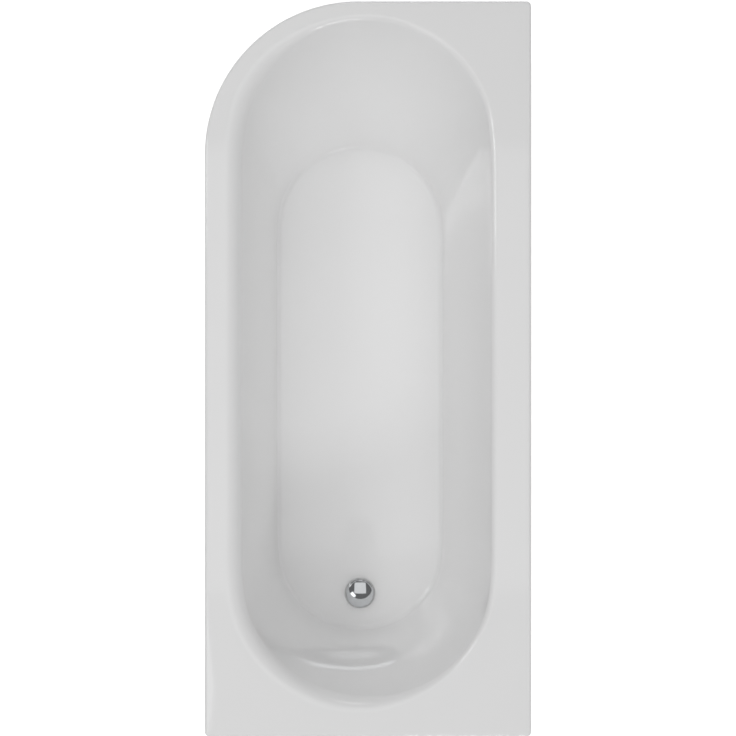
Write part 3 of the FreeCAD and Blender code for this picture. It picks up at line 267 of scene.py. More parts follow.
def between(start, end, steps):
    """Rows on the straight lines between two rings, without the rings themselves."""
    shares = (np.arange(1, steps) / steps)[:, None, None]
    return start + (end - start) * shares


def waste_circles(ring, places):
    """Circles about the waste's axis, each point on the line from the axis to its point of the ring."""
    aim = ring[:, :2] - WASTE
    aim /= np.linalg.norm(aim, axis=1, keepdims=True)
    rows = []
    for radius, height in places:
        flat = WASTE + aim * radius
        rows.append(np.column_stack([flat, height(flat[:, 1])]))
    return np.stack(rows)


def lowered(floor, drop):
    """Height that follows the floor at an even drop."""
    return lambda y: floor(y) - drop


def edge_rows(edge, out, places):
    """Rows that follow the deck's edge, each drawn in by an inset and at its own height."""
    return np.stack([np.column_stack([edge - out * inset, np.full(len(edge), z)]) for inset, z in places])


def bath_shell_skin(edge, out, normal, share):
    """Acrylic sheet as one ring-shaped skin.

    From the waste hole the rows run up the seat, over the floor, up the wall, over the lip and the deck,
    round the turned-down edge, and back under the deck and down the outside of the well to the hole. Every
    edge is broken by two or three points within about 1 mm of it.
    """
    inside = well_rings(normal, share, 0, floor_top)
    outside = well_rings(normal, share, SHEET, floor_under)
    seat = [(HOLE, level(SEAT - 0.6)), (HOLE + 0.2, level(SEAT - 0.15)), (HOLE + 0.7, level(SEAT))]
    seat += [(SEAT_RADIUS - 1, level(SEAT)), (SEAT_RADIUS - 0.3, level(SEAT + 0.25))]
    seat += [(SEAT_RADIUS, level(SEAT + 0.9)), (SEAT_RADIUS, lowered(floor_top, 0.9))]
    seat += [(SEAT_RADIUS + 0.3, lowered(floor_top, 0.25)), (SEAT_RADIUS + 1, floor_top)]
    seat = waste_circles(inside[5], seat)
    quarter = np.linspace(0, math.pi / 2, 9)
    rounding = [(EDGE * (1 - math.sin(a)), RIM - EDGE * (1 - math.cos(a))) for a in quarter]
    turned_down = [(0, LIP_MIDDLE), (0, LIP_BOTTOM + 1), (0.3, LIP_BOTTOM + 0.3), (1, LIP_BOTTOM)]
    turned_down += [(SHEET - 1, LIP_BOTTOM), (SHEET - 0.3, LIP_BOTTOM + 0.3), (SHEET, LIP_BOTTOM + 1)]
    turned_down += [(SHEET, LIP_MIDDLE), (SHEET, RIM - SHEET - 1.5)]
    turned_down += [(SHEET + 0.4, RIM - SHEET - 0.4), (SHEET + 1.5, RIM - SHEET)]
    rim = edge_rows(edge, out, rounding + turned_down)
    sump = [(SUMP_RADIUS + 2, floor_under), (SUMP_RADIUS + 0.6, lowered(floor_under, 0.3))]
    sump += [(SUMP_RADIUS, lowered(floor_under, 1.2)), (SUMP_RADIUS, level(SUMP_BOTTOM + 1))]
    sump += [(SUMP_RADIUS - 1, level(SUMP_BOTTOM))]
    sump += [(HOLE + 0.7, level(SUMP_BOTTOM)), (HOLE, level(SUMP_BOTTOM + 0.6))]
    sump = waste_circles(outside[4], sump)
    rows = [
        seat,
        between(seat[-1], inside[5], 6),
        conic(inside[5], inside[4], inside[3], 10),
        between(inside[3], inside[2], 14),
        conic(inside[2], inside[1], inside[0], 18),
        between(inside[0], rim[0], 4),
        rim,
        between(rim[-1], outside[0], 3),
        conic(outside[0], outside[1], outside[2], 10),
        between(outside[2], outside[4], 6),
        outside[4][None],
        between(outside[4], sump[0], 4),
        sump,
    ]
    return closed_grid(np.vstack(rows))


def laminate_lumps(points):
    """Unevenness of a hand-rolled laminate, from -1 to 1: bent waves of several lengths and directions."""
    waves = ((61, (1, 0.4, 0.3)), (37, (-0.3, 1, 0.5)), (23, (0.6, -0.7, 1)), (13, (0.9, 0.8, -0.6)))
    total = np.zeros(points.shape[:-1])
    for length, direction in waves:
        phase = points @ np.array(direction) * (2 * math.pi / length)
        total += length * np.sin(phase + 2 * np.sin(phase / 2.7 + length))
    return total / sum(length for length, _ in waves)


def glassfibre_skin(normal, share):
    """Jacket on the back of the well: outside lumpy, inside on the sheet, level under the floor."""
    outer = well_rings(normal, share, SHEET + BACKING, level(BOARD_TOP))
    sheet = well_rings(normal, share, SHEET, floor_under)
    at_top = []
    for rings in (outer, sheet):
        part = (BACKING_TOP - rings[2][:, 2]) / (rings[4][:, 2] - rings[2][:, 2])
        at_top.append(rings[2] + (rings[4] - rings[2]) * part[:, None])
    wall = np.vstack([at_top[0][None], between(at_top[0], outer[4], 40), outer[4][None]])
    out = np.column_stack([normal, np.zeros_like(share)])
    fade = np.sin(np.linspace(0.15, 1, len(wall)) * math.pi)[:, None] ** 0.5
    wall = wall + out * (laminate_lumps(wall) * fade * LUMPS)[..., None]
    under = waste_circles(outer[4], [(HOLE, level(BOARD_TOP)), (HOLE, level(SUMP_BOTTOM))])
    sump = waste_circles(sheet[4], [(SUMP_RADIUS, level(SUMP_BOTTOM)), (SUMP_RADIUS, floor_under)])
    rows = [
        wall,
        between(outer[4], under[0], 4),
        under,
        sump,
        sheet[4][None],
        between(sheet[4], at_top[1], 4),
        at_top[1][None],
    ]
    return closed_grid(np.vstack(rows))


# Profiles carried along a path or turned about an axis


def rounded_loop(corners, steps=4):
    """Closed polygon with each corner (x, y, radius) rounded by a quadratic curve a radius long each way."""
    places = np.array([corner[:2] for corner in corners], float)
    radii = np.array([corner[2] for corner in corners], float)[:, None]
    back, ahead = np.roll(places, 1, 0) - places, np.roll(places, -1, 0) - places
    start = places + back / np.linalg.norm(back, axis=1, keepdims=True) * radii
    end = places + ahead / np.linalg.norm(ahead, axis=1, keepdims=True) * radii
    v = np.linspace(0, 1, steps + 1)[None, :, None]
    curve = (1 - v) ** 2 * start[:, None] + 2 * v * (1 - v) * places[:, None] + v**2 * end[:, None]
    return curve.reshape(-1, 2)


def carried(profile, path, out):
    """Closed profile of (inset, height) carried along a level path with outward normals, cut flat."""
    flat = path[:, None] - out[:, None] * profile[None, :, :1]
    height = np.broadcast_to(profile[None, :, 1:], (*flat.shape[:2], 1))
    return closed_grid(np.concatenate([flat, height], 2), round_rows=False)


def turned(profile, centre, columns=96, shape=None, closed=False):
    """Profile of (radius, height) turned about an upright axis.

    The shape, where there is one, gives a new radius for each radius, height and turn.
    """
    turn = np.arange(columns) * (2 * math.pi / columns)
    radius, height = np.broadcast_to(profile[:, :1], (len(profile), columns)), profile[:, 1:]
    if shape is not None:
        radius = shape(radius, height, turn[None, :])
    x, y = centre[0] + radius * np.cos(turn), centre[1] + radius * np.sin(turn)
    points = np.stack([x, y, np.broadcast_to(height, x.shape)], 2)
    return closed_grid(points, round_rows=closed)


def thread(radius, height, turn, crest, pitch, depth, zones):
    """Screw thread: the radius falls by a triangle wave of the height less the turn, cut flat at its ends."""
    wave = np.abs(((height / pitch - turn / (2 * math.pi)) % 1) * 2 - 1)
    inside = np.zeros_like(height, bool)
    for low, high in zones:
        inside |= (height > low) & (height < high)
    cut = np.where(inside & (np.abs(radius - crest) < 1e-6), depth * np.clip(wave * 1.25 - 0.125, 0, 1), 0)
    return radius - cut


def hexagon_radius(turn, flats):
    """Distance from the axis to a six-sided outline whose first corner lies on +X."""
    return flats / 2 / np.cos(turn % (math.pi / 3) - math.pi / 6)


def nut_skin(centre, low, high, flats, bore):
    """Six-sided nut: each end is turned to a cone, so its corners fall away, and the bore is countersunk.

    The radius is the smaller of the cone's and the distance to the flats.
    """
    face, chamfer, widening = flats / 2 * 0.96, flats / 2 * 0.15, 1.9
    rises = np.linspace(0, chamfer, 6)
    ends = [(face + widening * rise, low + rise) for rise in rises]
    ends += [(face + widening * rise, high - rise) for rise in rises[::-1]]
    sink = min(1.0, (flats / 2 - bore) / 5)
    loop = [(bore, low + sink), (bore + sink, low), *ends, (bore + sink, high), (bore, high - sink)]

    def flat_sided(radius, height, turn):
        return np.minimum(radius, hexagon_radius(turn, flats))

    return turned(np.array(loop), centre, shape=flat_sided, closed=True)


def middle_of(node):
    """Axis of a node and its lowest and highest level."""
    low, high = (np.array(corner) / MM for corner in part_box(node))
    return (low[:2] + high[:2]) / 2, low[2], high[2]


def rod_skin(tag):
    """Threaded rod of M10 with bevelled ends: a cylinder less the triangle wave of its thread."""
    centre, low, high = middle_of(f"leg_rod_{tag}")
    start, stop = low + ROD_BEVEL, high - ROD_BEVEL
    heights = np.arange(start, stop, ROD_PITCH / 6)
    shank = np.column_stack([np.full(len(heights), ROD), heights])
    profile = np.vstack([[ROD_END, low], shank, [ROD_END, high]])

    def cut(radius, height, turn):
        return thread(radius, height, turn, ROD, ROD_PITCH, ROD_DEPTH, [(start, stop)])

    return turned(profile, centre, 28, cut)


def foot_skin(tag):
    """Moulded foot: scalloped rim, hollow slope up to a boss, blind socket for the rod.

    The slope rises with the power 2.2 of the way in, and each scallop is the cube of a cosine of the turn.
    """
    centre, low, high = middle_of(f"foot_pad_{tag}")
    slope, brim, rise = np.linspace(0, 1, 12), FOOT - 0.6, 6.2
    hollow = np.column_stack([brim - (brim - FOOT_BOSS) * slope, low + 5.2 + rise * slope**2.2])
    start = [(FOOT - 2.5, low), (FOOT - 0.8, low + 0.4), (FOOT, low + 1.6), (FOOT, low + 4.2)]
    start += [(FOOT - 0.3, low + 5.0)]
    end = [(FOOT_BOSS, high - 1.2), (FOOT_BOSS - 0.4, high - 0.3), (FOOT_BOSS - 1.2, high)]
    end += [(FOOT_SOCKET + 0.8, high), (FOOT_SOCKET, high - 0.8), (FOOT_SOCKET, high - SOCKET_DEPTH)]
    plain = FOOT - 3

    def scalloped(radius, height, turn):
        grip = np.clip(np.cos(turn * SCALLOPS), 0, 1) ** 3
        return radius - SCALLOP * grip * eased((radius - plain) / 2)

    return turned(np.vstack([start, hollow, end]), centre, 128, scalloped)


def cap_skin():
    """Plug: shallow dome, rounded shoulder, upright rim, hollow underside with a boss for the plunger.

    The dome is part of a sphere, and the rest is a profile of straight runs with rounded corners.
    """
    centre, low, _ = middle_of("plug_cap")
    lean = np.linspace(0.0, math.asin(DOME_REACH / DOME_SPHERE), 40)[1:]
    dome = np.column_stack([DOME_SPHERE * np.sin(lean), CAP_TOP - DOME_SPHERE * (1 - np.cos(lean))])
    corners = [(DOME_REACH, dome[-1, 1], 0), (CAP, CAP_SHOULDER, 1.0), (CAP, CAP_BOTTOM, 0.6)]
    corners += [(CAP_HOLLOW, CAP_BOTTOM, 0.5)]
    corner_rows = 5
    shoulder = rounded_loop(corners, corner_rows - 1)[corner_rows:]
    under = [(CAP_HOLLOW, CAP_UNDER - 0.2), (CAP_HOLLOW - 0.3, CAP_UNDER), (CAP_BOSS, CAP_UNDER)]
    under += [(CAP_BOSS, low + 0.5), (CAP_BOSS - 0.5, low), (CAP_BORE + 0.3, low), (CAP_BORE, low + 0.4)]
    under += [(CAP_BORE, CAP_UNDER + 2)]
    return turned(np.vstack([dome, shoulder, under]), centre, 160)


def flange_skins():
    """Chrome flange with a dished top, a tail with two screw threads, and a three-armed bridge inside.

    The flange, the tail and the bridge's ring are turned profiles, and each arm is a straight bar.
    """
    corners = [(FLANGE, FLANGE_UNDER, 0.1), (FLANGE, FLANGE_TOP - 1.2, 0.9)]
    corners += [(FLANGE_DISH + 0.8, FLANGE_TOP, 1.5), (FLANGE_DISH, FLANGE_TOP, 0.6)]
    corners += [(TAIL_BORE, FLANGE_TOP - 1.6, 0.5)]
    heights = np.arange(TAIL_BOTTOM + 1, FLANGE_UNDER, 0.29)
    groove = (heights > GROOVE_LOW) & (heights < GROOVE_HIGH)
    tail = np.column_stack([np.where(groove, GROOVE, TAIL), heights])
    foot = np.array([(0, 0.5), (0.4, 0), (2.0, 0), (2.4, 0.3)]) + (TAIL_BORE, TAIL_BOTTOM)
    zones = [(TAIL_BOTTOM + 1.5, GROOVE_LOW), (GROOVE_HIGH, FLANGE_UNDER - 1)]

    def cut(radius, height, turn):
        return thread(radius, height, turn, TAIL, TAIL_PITCH, TAIL_DEPTH, zones)

    body = turned(np.vstack([rounded_loop(corners), foot, tail]), WASTE, 120, cut, closed=True)
    ring = [(BRIDGE_BORE, BRIDGE_LOW, 0.3), (BRIDGE_RING, BRIDGE_LOW, 0.5)]
    ring += [(BRIDGE_RING, BRIDGE_HIGH, 0.5), (BRIDGE_BORE, BRIDGE_HIGH, 0.3)]
    skins = [body, turned(rounded_loop(ring), WASTE, 64, closed=True)]
    arm = [(-HALF_ARM, BRIDGE_LOW, 0.5), (HALF_ARM, BRIDGE_LOW, 0.5)]
    arm += [(HALF_ARM, BRIDGE_HIGH, 0.5), (-HALF_ARM, BRIDGE_HIGH, 0.5)]
    reach = np.array([[BRIDGE_RING - 0.6], [TAIL_BORE + 1]])
    for turn in np.arange(3) * (2 * math.pi / 3):
        aim = np.array([math.cos(turn), math.sin(turn)])
        side = np.repeat([[-aim[1], aim[0]]], 2, 0)
        skins.append(carried(rounded_loop(arm), WASTE + reach * aim, side))
    return skins


def spring_skin(low, high):
    """Coil of round wire: a circle across the wire carried up a helix, with a flat cut at both ends."""
    turn = np.linspace(0, 2 * math.pi * SPRING_TURNS, 145)
    out = np.stack([np.cos(turn), np.sin(turn), np.zeros_like(turn)], 1)
    centre = SPRING_MEAN / 2 * out
    centre[:, :2] += WASTE
    centre[:, 2] = np.linspace(low + SPRING_WIRE / 2, high - SPRING_WIRE / 2, len(turn))
    across = np.cross(out, np.gradient(centre, axis=0))
    across /= np.linalg.norm(across, axis=1, keepdims=True)
    round_wire = np.arange(12) * (math.pi / 6)
    offset = out[:, None] * np.cos(round_wire)[:, None] + across[:, None] * np.sin(round_wire)[:, None]
    return closed_grid(centre[:, None] + SPRING_WIRE / 2 * offset, round_rows=False)


def panel_skin():
    """Skirt behind the lip along the head, round the free corner and along the front.

    Its profile, an upright sheet folded in at the floor, is carried along two straight runs and a quarter
    circle between them.
    """
    bend = np.linspace(math.pi / 2, math.pi, 120)
    arc_out = np.stack([np.cos(bend), np.sin(bend)], 1)
    arc = np.array([FREE_CORNER - HALF_WIDTH, HALF_LENGTH - FREE_CORNER]) + FREE_CORNER * arc_out
    end = SQUARE_CORNER + SKIRT_GAP
    head = np.linspace([HALF_WIDTH - end, HALF_LENGTH], arc[0], 12)[:-1]
    front = np.linspace(arc[-1], [-HALF_WIDTH, end - HALF_LENGTH], 40)[1:]
    path = np.vstack([head, arc, front])
    out = np.vstack([np.repeat(arc_out[:1], len(head), 0), arc_out, np.repeat(arc_out[-1:], len(front), 0)])
    back, fold, shelf = SKIRT_INSET + SKIRT_SHEET, SKIRT_INSET + SKIRT_FOLD, SKIRT_BOTTOM + SKIRT_SHEET
    corners = [(SKIRT_INSET, SKIRT_BOTTOM, 4.5), (SKIRT_INSET, SKIRT_TOP, 1), (back, SKIRT_TOP, 1)]
    corners += [(back, shelf, 1.5), (fold, shelf, 1), (fold, SKIRT_BOTTOM, 1)]
    return carried(rounded_loop(corners, 6), path, out)


# Materials


def colour(code):
    """Linear colour of an sRGB hex value."""
    channels = np.array([int(code[k : k + 2], 16) for k in (1, 3, 5)]) / 255
    plain = np.where(channels <= 0.04045, channels / 12.92, ((channels + 0.055) / 1.055) ** 2.4)
    return (*plain.tolist(), 1.0)


def add(tree, kind, inputs=None, **settings):
    """Adds a node with its settings; each input is linked to a socket or set to a value."""
    node = tree.nodes.new(kind)
    for name, setting in settings.items():
        setattr(node, name, setting)
    for name, source in (inputs or {}).items():
        if isinstance(source, bpy.types.NodeSocket):
            tree.links.new(source, node.inputs[name])
        else:
            node.inputs[name].default_value = source
    return node


# Sockets of a Mix node that is set to colours
DARK, LIGHT, MIXED = 6, 7, 2


def new_material(name, recipe, **choices):
    """Material whose recipe turns the piece's own coordinates into the settings of its shader."""
    made = bpy.data.materials.new(name)
    made.use_nodes = True
    tree = made.node_tree
    tree.nodes.clear()
    place = add(tree, "ShaderNodeTexCoord").outputs["Object"]
    shader = add(tree, "ShaderNodeBsdfPrincipled", recipe(tree, place, **choices))
    add(tree, "ShaderNodeOutputMaterial", {"Surface": shader.outputs[0]})
    return made


def cast_acrylic(tree, place):
    """Cast acrylic sheet, vacuum-formed: deep gloss over white, with a faint forming ripple 90 mm long."""
    cloud = add(tree, "ShaderNodeTexNoise", {"Vector": place, "Scale": 1 / 0.30, "Detail": 2.0}).outputs[0]
    haze = add(tree, "ShaderNodeTexNoise", {"Vector": place, "Scale": 1 / 0.025, "Detail": 4.0}).outputs[0]
    ripple = add(tree, "ShaderNodeTexNoise", {"Vector": place, "Scale": 1 / 0.09, "Detail": 1.0}).outputs[0]
    white = {"Factor": cloud, DARK: colour("#F8F8F8"), LIGHT: colour("#FBFBFB")}
    gloss = {"Value": haze, "To Min": 0.05, "To Max": 0.09}
    return {
        "Base Color": add(tree, "ShaderNodeMix", white, data_type="RGBA").outputs[MIXED],
        "Roughness": add(tree, "ShaderNodeMapRange", gloss).outputs[0],
        "Normal": add(tree, "ShaderNodeBump", {"Height": ripple, "Distance": 0.00008}).outputs[0],
        "IOR": 1.49,
    }


def chrome(tree, place):
    """Chromium plate on polished brass: mirror bright, with a faint film of wiping marks 12 mm across."""
    film = add(tree, "ShaderNodeTexNoise", {"Vector": place, "Scale": 1 / 0.012, "Detail": 5.0}).outputs[0]
    silver = {"Factor": film, DARK: colour("#CFD1D4"), LIGHT: colour("#DADCDE")}
    gloss = {"Value": film, "To Min": 0.03, "To Max": 0.09}
    return {
        "Base Color": add(tree, "ShaderNodeMix", silver, data_type="RGBA").outputs[MIXED],
        "Roughness": add(tree, "ShaderNodeMapRange", gloss).outputs[0],
        "Metallic": 1.0,
    }


STRAND_TURNS = ((0.4, 0.2, 0.1), (1.3, 0.5, 1.1), (0.2, 1.2, 2.0), (0.9, 0.3, 2.8))


def glass_fibre(tree, place):
    """Chopped glass rolled in resin: milky, with 40 mm strands lying every way in the surface.

    The strands are drawn 2.5 mm wide, coarser than the real ones, so that they show.
    """
    top = None
    for turn in STRAND_TURNS:
        laid = {"Vector": place, "Rotation": turn, "Scale": (1, 1, 0.06)}
        laid = add(tree, "ShaderNodeMapping", laid).outputs[0]
        strand = {"Vector": laid, "Scale": 1 / 0.0025, "Detail": 2.0}
        strand = add(tree, "ShaderNodeTexNoise", strand).outputs[0]
        if top is not None:
            strand = add(tree, "ShaderNodeMath", {0: top, 1: strand}, operation="MAXIMUM").outputs[0]
        top = strand
    lift = add(tree, "ShaderNodeMapRange", {"Value": top, "From Min": 0.5, "From Max": 0.8}).outputs[0]
    milky = {"Factor": lift, DARK: colour("#B9B6A4"), LIGHT: colour("#E3E1D6")}
    dull = {"Value": lift, "To Min": 0.28, "To Max": 0.5}
    return {
        "Base Color": add(tree, "ShaderNodeMix", milky, data_type="RGBA").outputs[MIXED],
        "Roughness": add(tree, "ShaderNodeMapRange", dull).outputs[0],
        "Normal": add(tree, "ShaderNodeBump", {"Height": lift, "Distance": 0.0005}).outputs[0],
        "IOR": 1.54,
    }


def chipboard(tree, place):
    """Wood chips pressed in resin: flat flakes about 7 mm across, in browns, with a slight relief."""
    drift = add(tree, "ShaderNodeTexNoise", {"Vector": place, "Scale": 1 / 0.02, "Detail": 3.0}).outputs[1]
    bent = {0: drift, 1: (0.012, 0.012, 0.012), 2: place}
    bent = add(tree, "ShaderNodeVectorMath", bent, operation="MULTIPLY_ADD").outputs[0]
    flakes = add(tree, "ShaderNodeTexVoronoi", {"Vector": bent, "Scale": 1 / 0.007})
    tone = add(tree, "ShaderNodeSeparateColor", {0: flakes.outputs["Color"]})
    browns = {"Factor": tone.outputs[0], DARK: colour("#8E6A42"), LIGHT: colour("#C9A877")}
    dull = {"Value": tone.outputs[1], "To Min": 0.45, "To Max": 0.75}
    relief = {"Height": flakes.outputs["Distance"], "Distance": 0.00025}
    return {
        "Base Color": add(tree, "ShaderNodeMix", browns, data_type="RGBA").outputs[MIXED],
        "Roughness": add(tree, "ShaderNodeMapRange", dull).outputs[0],
        "Normal": add(tree, "ShaderNodeBump", relief).outputs[0],
        "IOR": 1.5,
    }


def sawn_pine(tree, place, turn):
    """Softwood batten: growth rings cut lengthwise, about 4 mm apart, and 1.2 mm fibres along the length."""
    laid = {"Vector": place, "Rotation": (0, 0, turn), "Scale": (1, 0.05, 1)}
    laid = add(tree, "ShaderNodeMapping", laid).outputs[0]
    drift = add(tree, "ShaderNodeTexNoise", {"Vector": laid, "Scale": 1 / 0.03, "Detail": 3.0}).outputs[1]
    bent = {0: drift, 1: (0.02, 0.02, 0.02), 2: laid}
    bent = add(tree, "ShaderNodeVectorMath", bent, operation="MULTIPLY_ADD").outputs[0]
    rings = {"Vector": bent, "Scale": 1 / 0.004 / (2 * math.pi), "Distortion": 2.0}
    rings = add(tree, "ShaderNodeTexWave", rings).outputs[1]
    fibre = add(tree, "ShaderNodeTexNoise", {"Vector": laid, "Scale": 1 / 0.0012, "Detail": 2.0}).outputs[0]
    grain = add(tree, "ShaderNodeMix", {"Factor": 0.35, "A": rings, "B": fibre}).outputs[0]
    honey = {"Factor": grain, DARK: colour("#DDBF8F"), LIGHT: colour("#B98A52")}
    dull = {"Value": fibre, "To Min": 0.6, "To Max": 0.85}
    return {
        "Base Color": add(tree, "ShaderNodeMix", honey, data_type="RGBA").outputs[MIXED],
        "Roughness": add(tree, "ShaderNodeMapRange", dull).outputs[0],
        "Normal": add(tree, "ShaderNodeBump", {"Height": fibre, "Distance": 0.0002}).outputs[0],
        "IOR": 1.5,
    }


def galvanised(tree, place):
    """Hot-dip galvanised sheet, folded: grey zinc crystals 12 mm across, each with its own brightness."""
    drift = add(tree, "ShaderNodeTexNoise", {"Vector": place, "Scale": 1 / 0.006, "Detail": 3.0})
    bent = {0: drift.outputs[1], 1: (0.006, 0.006, 0.006), 2: place}
    bent = add(tree, "ShaderNodeVectorMath", bent, operation="MULTIPLY_ADD").outputs[0]
    crystals = add(tree, "ShaderNodeTexVoronoi", {"Vector": bent, "Scale": 1 / 0.012}).outputs["Color"]
    tone = add(tree, "ShaderNodeSeparateColor", {0: crystals})
    greys = {"Factor": tone.outputs[0], DARK: colour("#8F9598"), LIGHT: colour("#B9BEC0")}
    dull = {"Value": tone.outputs[1], "To Min": 0.28, "To Max": 0.52}
    return {
        "Base Color": add(tree, "ShaderNodeMix", greys, data_type="RGBA").outputs[MIXED],
        "Roughness": add(tree, "ShaderNodeMapRange", dull).outputs[0],
        "Normal": add(tree, "ShaderNodeBump", {"Height": drift.outputs[0], "Distance": 0.00004}).outputs[0],
        "Metallic": 1.0,
    }


def zinc_plate(tree, place):
    """Bright zinc plate on cold-headed steel: bluish silver, clouded every 4 mm."""
    cloud = add(tree, "ShaderNodeTexNoise", {"Vector": place, "Scale": 1 / 0.004, "Detail": 4.0}).outputs[0]
    silver = {"Factor": cloud, DARK: colour("#A5ABB3"), LIGHT: colour("#C9CDD2")}
    gloss = {"Value": cloud, "To Min": 0.22, "To Max": 0.42}
    return {
        "Base Color": add(tree, "ShaderNodeMix", silver, data_type="RGBA").outputs[MIXED],
        "Roughness": add(tree, "ShaderNodeMapRange", gloss).outputs[0],
        "Metallic": 1.0,
    }


def moulded(tree, place, tones, gloss, grain, depth):
    """Moulded plastic or rubber: one colour, its gloss broken by the grain of the mould."""
    pores = add(tree, "ShaderNodeTexNoise", {"Vector": place, "Scale": 1 / grain, "Detail": 4.0}).outputs[0]
    shades = {"Factor": pores, DARK: colour(tones[0]), LIGHT: colour(tones[1])}
    span = {"Value": pores, "To Min": gloss[0], "To Max": gloss[1]}
    return {
        "Base Color": add(tree, "ShaderNodeMix", shades, data_type="RGBA").outputs[MIXED],
        "Roughness": add(tree, "ShaderNodeMapRange", span).outputs[0],
        "Normal": add(tree, "ShaderNodeBump", {"Height": pores, "Distance": depth}).outputs[0],
        "IOR": 1.5,
    }


def turned_metal(tree, place, tones, gloss):
    """Turned or drawn metal: fine tool rings round the axis, drawn 0.6 mm apart so that they show."""
    laid = add(tree, "ShaderNodeMapping", {"Vector": place, "Scale": (0.05, 0.05, 1)}).outputs[0]
    lines = add(tree, "ShaderNodeTexNoise", {"Vector": laid, "Scale": 1 / 0.0006, "Detail": 2.0}).outputs[0]
    shades = {"Factor": lines, DARK: colour(tones[0]), LIGHT: colour(tones[1])}
    span = {"Value": lines, "To Min": gloss[0], "To Max": gloss[1]}
    return {
        "Base Color": add(tree, "ShaderNodeMix", shades, data_type="RGBA").outputs[MIXED],
        "Roughness": add(tree, "ShaderNodeMapRange", span).outputs[0],
        "Metallic": 1.0,
    }


NYLON = {"tones": ("#17181A", "#232427"), "gloss": (0.38, 0.55), "grain": 0.0008, "depth": 0.00002}
RUBBER = {"tones": ("#131314", "#1E1E20"), "gloss": (0.65, 0.85), "grain": 0.001, "depth": 0.00005}
POLYTHENE = {"tones": ("#D9DBD8", "#E6E7E4"), "gloss": (0.35, 0.5), "grain": 0.001, "depth": 0.00002}
BRASS = {"tones": ("#B18A45", "#D2AE67"), "gloss": (0.18, 0.34)}
SPRING = {"tones": ("#6E7276", "#9DA1A5"), "gloss": (0.25, 0.4)}

FINISHES = {
    "white_acrylic": new_material("cast_acrylic_vacuum_formed", cast_acrylic),
    "chrome_plate": new_material("chrome_plate_polished", chrome),
    "glass_fibre": new_material("glass_fibre_chopped_strand_rolled", glass_fibre),
    "chipboard": new_material("chipboard_pressed", chipboard),
    "softwood": new_material("pine_sawn_along_the_bath", sawn_pine, turn=0.0),
    "galvanised_steel": new_material("galvanised_steel_folded", galvanised),
    "zinc_plated_steel": new_material("zinc_plated_steel_cold_headed", zinc_plate),
    "black_nylon": new_material("black_nylon_moulded", moulded, **NYLON),
    "black_rubber": new_material("black_rubber_pressed", moulded, **RUBBER),
    "white_polythene": new_material("white_polythene_moulded", moulded, **POLYTHENE),
    "brass": new_material("brass_turned", turned_metal, **BRASS),
    "spring_steel": new_material("spring_steel_drawn", turned_metal, **SPRING),
}
CROSS_PINE = new_material("pine_sawn_across_the_bath", sawn_pine, turn=math.pi / 2)


# Pieces that show, each in place of its plain solid

edge, edge_out = deck_edge()
normal, share = well_stations(edge)
shell = [bath_shell_skin(edge, edge_out, normal, share)]
piece("bath_shell_moulding", shell, "white_acrylic", "tub", "bath_shell")
piece("glassfibre_jacket", [glassfibre_skin(normal, share)], "glass_fibre", "tub", "glassfibre_backing")
piece("front_skirt", [panel_skin()], "white_acrylic", "tub", "front_panel")
piece("waste_flange_threaded", flange_skins(), "chrome_plate", "tub", "waste_flange")
piece("plug_dome", [cap_skin()], "chrome_plate", "plug", "plug_cap")
_, coil_foot, coil_top = middle_of("plug_spring")
coil = [spring_skin(coil_foot, coil_top)]
spring = piece("plug_spring_coil", coil, "spring_steel", "tub", "plug_spring")
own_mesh(spring)
back_nut = [nut_skin(*middle_of("back_nut"), **BACK_NUT)]
piece("back_nut_bevelled", back_nut, "white_polythene", "tub", "back_nut")
for tag in LEGS:
    rod, foot, nuts = f"leg_rod_{tag}", f"foot_pad_{tag}", f"leg_nuts_{tag}"
    piece(f"{rod}_threaded", [rod_skin(tag)], "zinc_plated_steel", f"leg_{tag}", rod)
    piece(f"{foot}_moulded", [foot_skin(tag)], "black_nylon", f"leg_{tag}", foot)
    axis, low, high = middle_of(nuts)
    spans = ((low, low + LEG_NUT_HEIGHT), (high - LEG_NUT_HEIGHT, high))
    pair = [nut_skin(axis, *span, **LEG_NUT) for span in spans]
    piece(f"{nuts}_bevelled", pair, "zinc_plated_steel", f"nuts_{tag}", nuts)


# The other solids keep their shape and the finish of their slot, and those listed below also get broken edges

for row in frame["record"]["subparts"]:
    solid = frame["nodes"][row["node"]]
    finish = CROSS_PINE if row["node"] == "rim_batten_foot" else FINISHES[row["material_slot"]]
    solid.data.materials.clear()
    solid.data.materials.append(finish)

BROKEN_EDGES = {
    "baseboard": 1.0,
    "rim_batten_front": 1.2,
    "rim_batten_wall": 1.2,
    "rim_batten_foot": 1.2,
    "cradle_head": 0.6,
    "cradle_foot": 0.6,
    "centre_bracket": 0.6,
    "wall_bracket_head": 0.6,
    "wall_bracket_foot": 0.6,
    "panel_clips": 0.5,
}
WELD_REACH, BEVEL_SEGMENTS, BEVEL_FROM = 0.01, 2, math.radians(50)
for name, width in BROKEN_EDGES.items():
    solid = frame["nodes"][name]
    weld = solid.modifiers.new("joined", "WELD")
    weld.merge_threshold = WELD_REACH * MM
    bevel = solid.modifiers.new("broken_edges", "BEVEL")
    bevel.width = width * MM
    bevel.segments = BEVEL_SEGMENTS
    bevel.limit_method = "ANGLE"
    bevel.angle_limit = BEVEL_FROM


# Studio


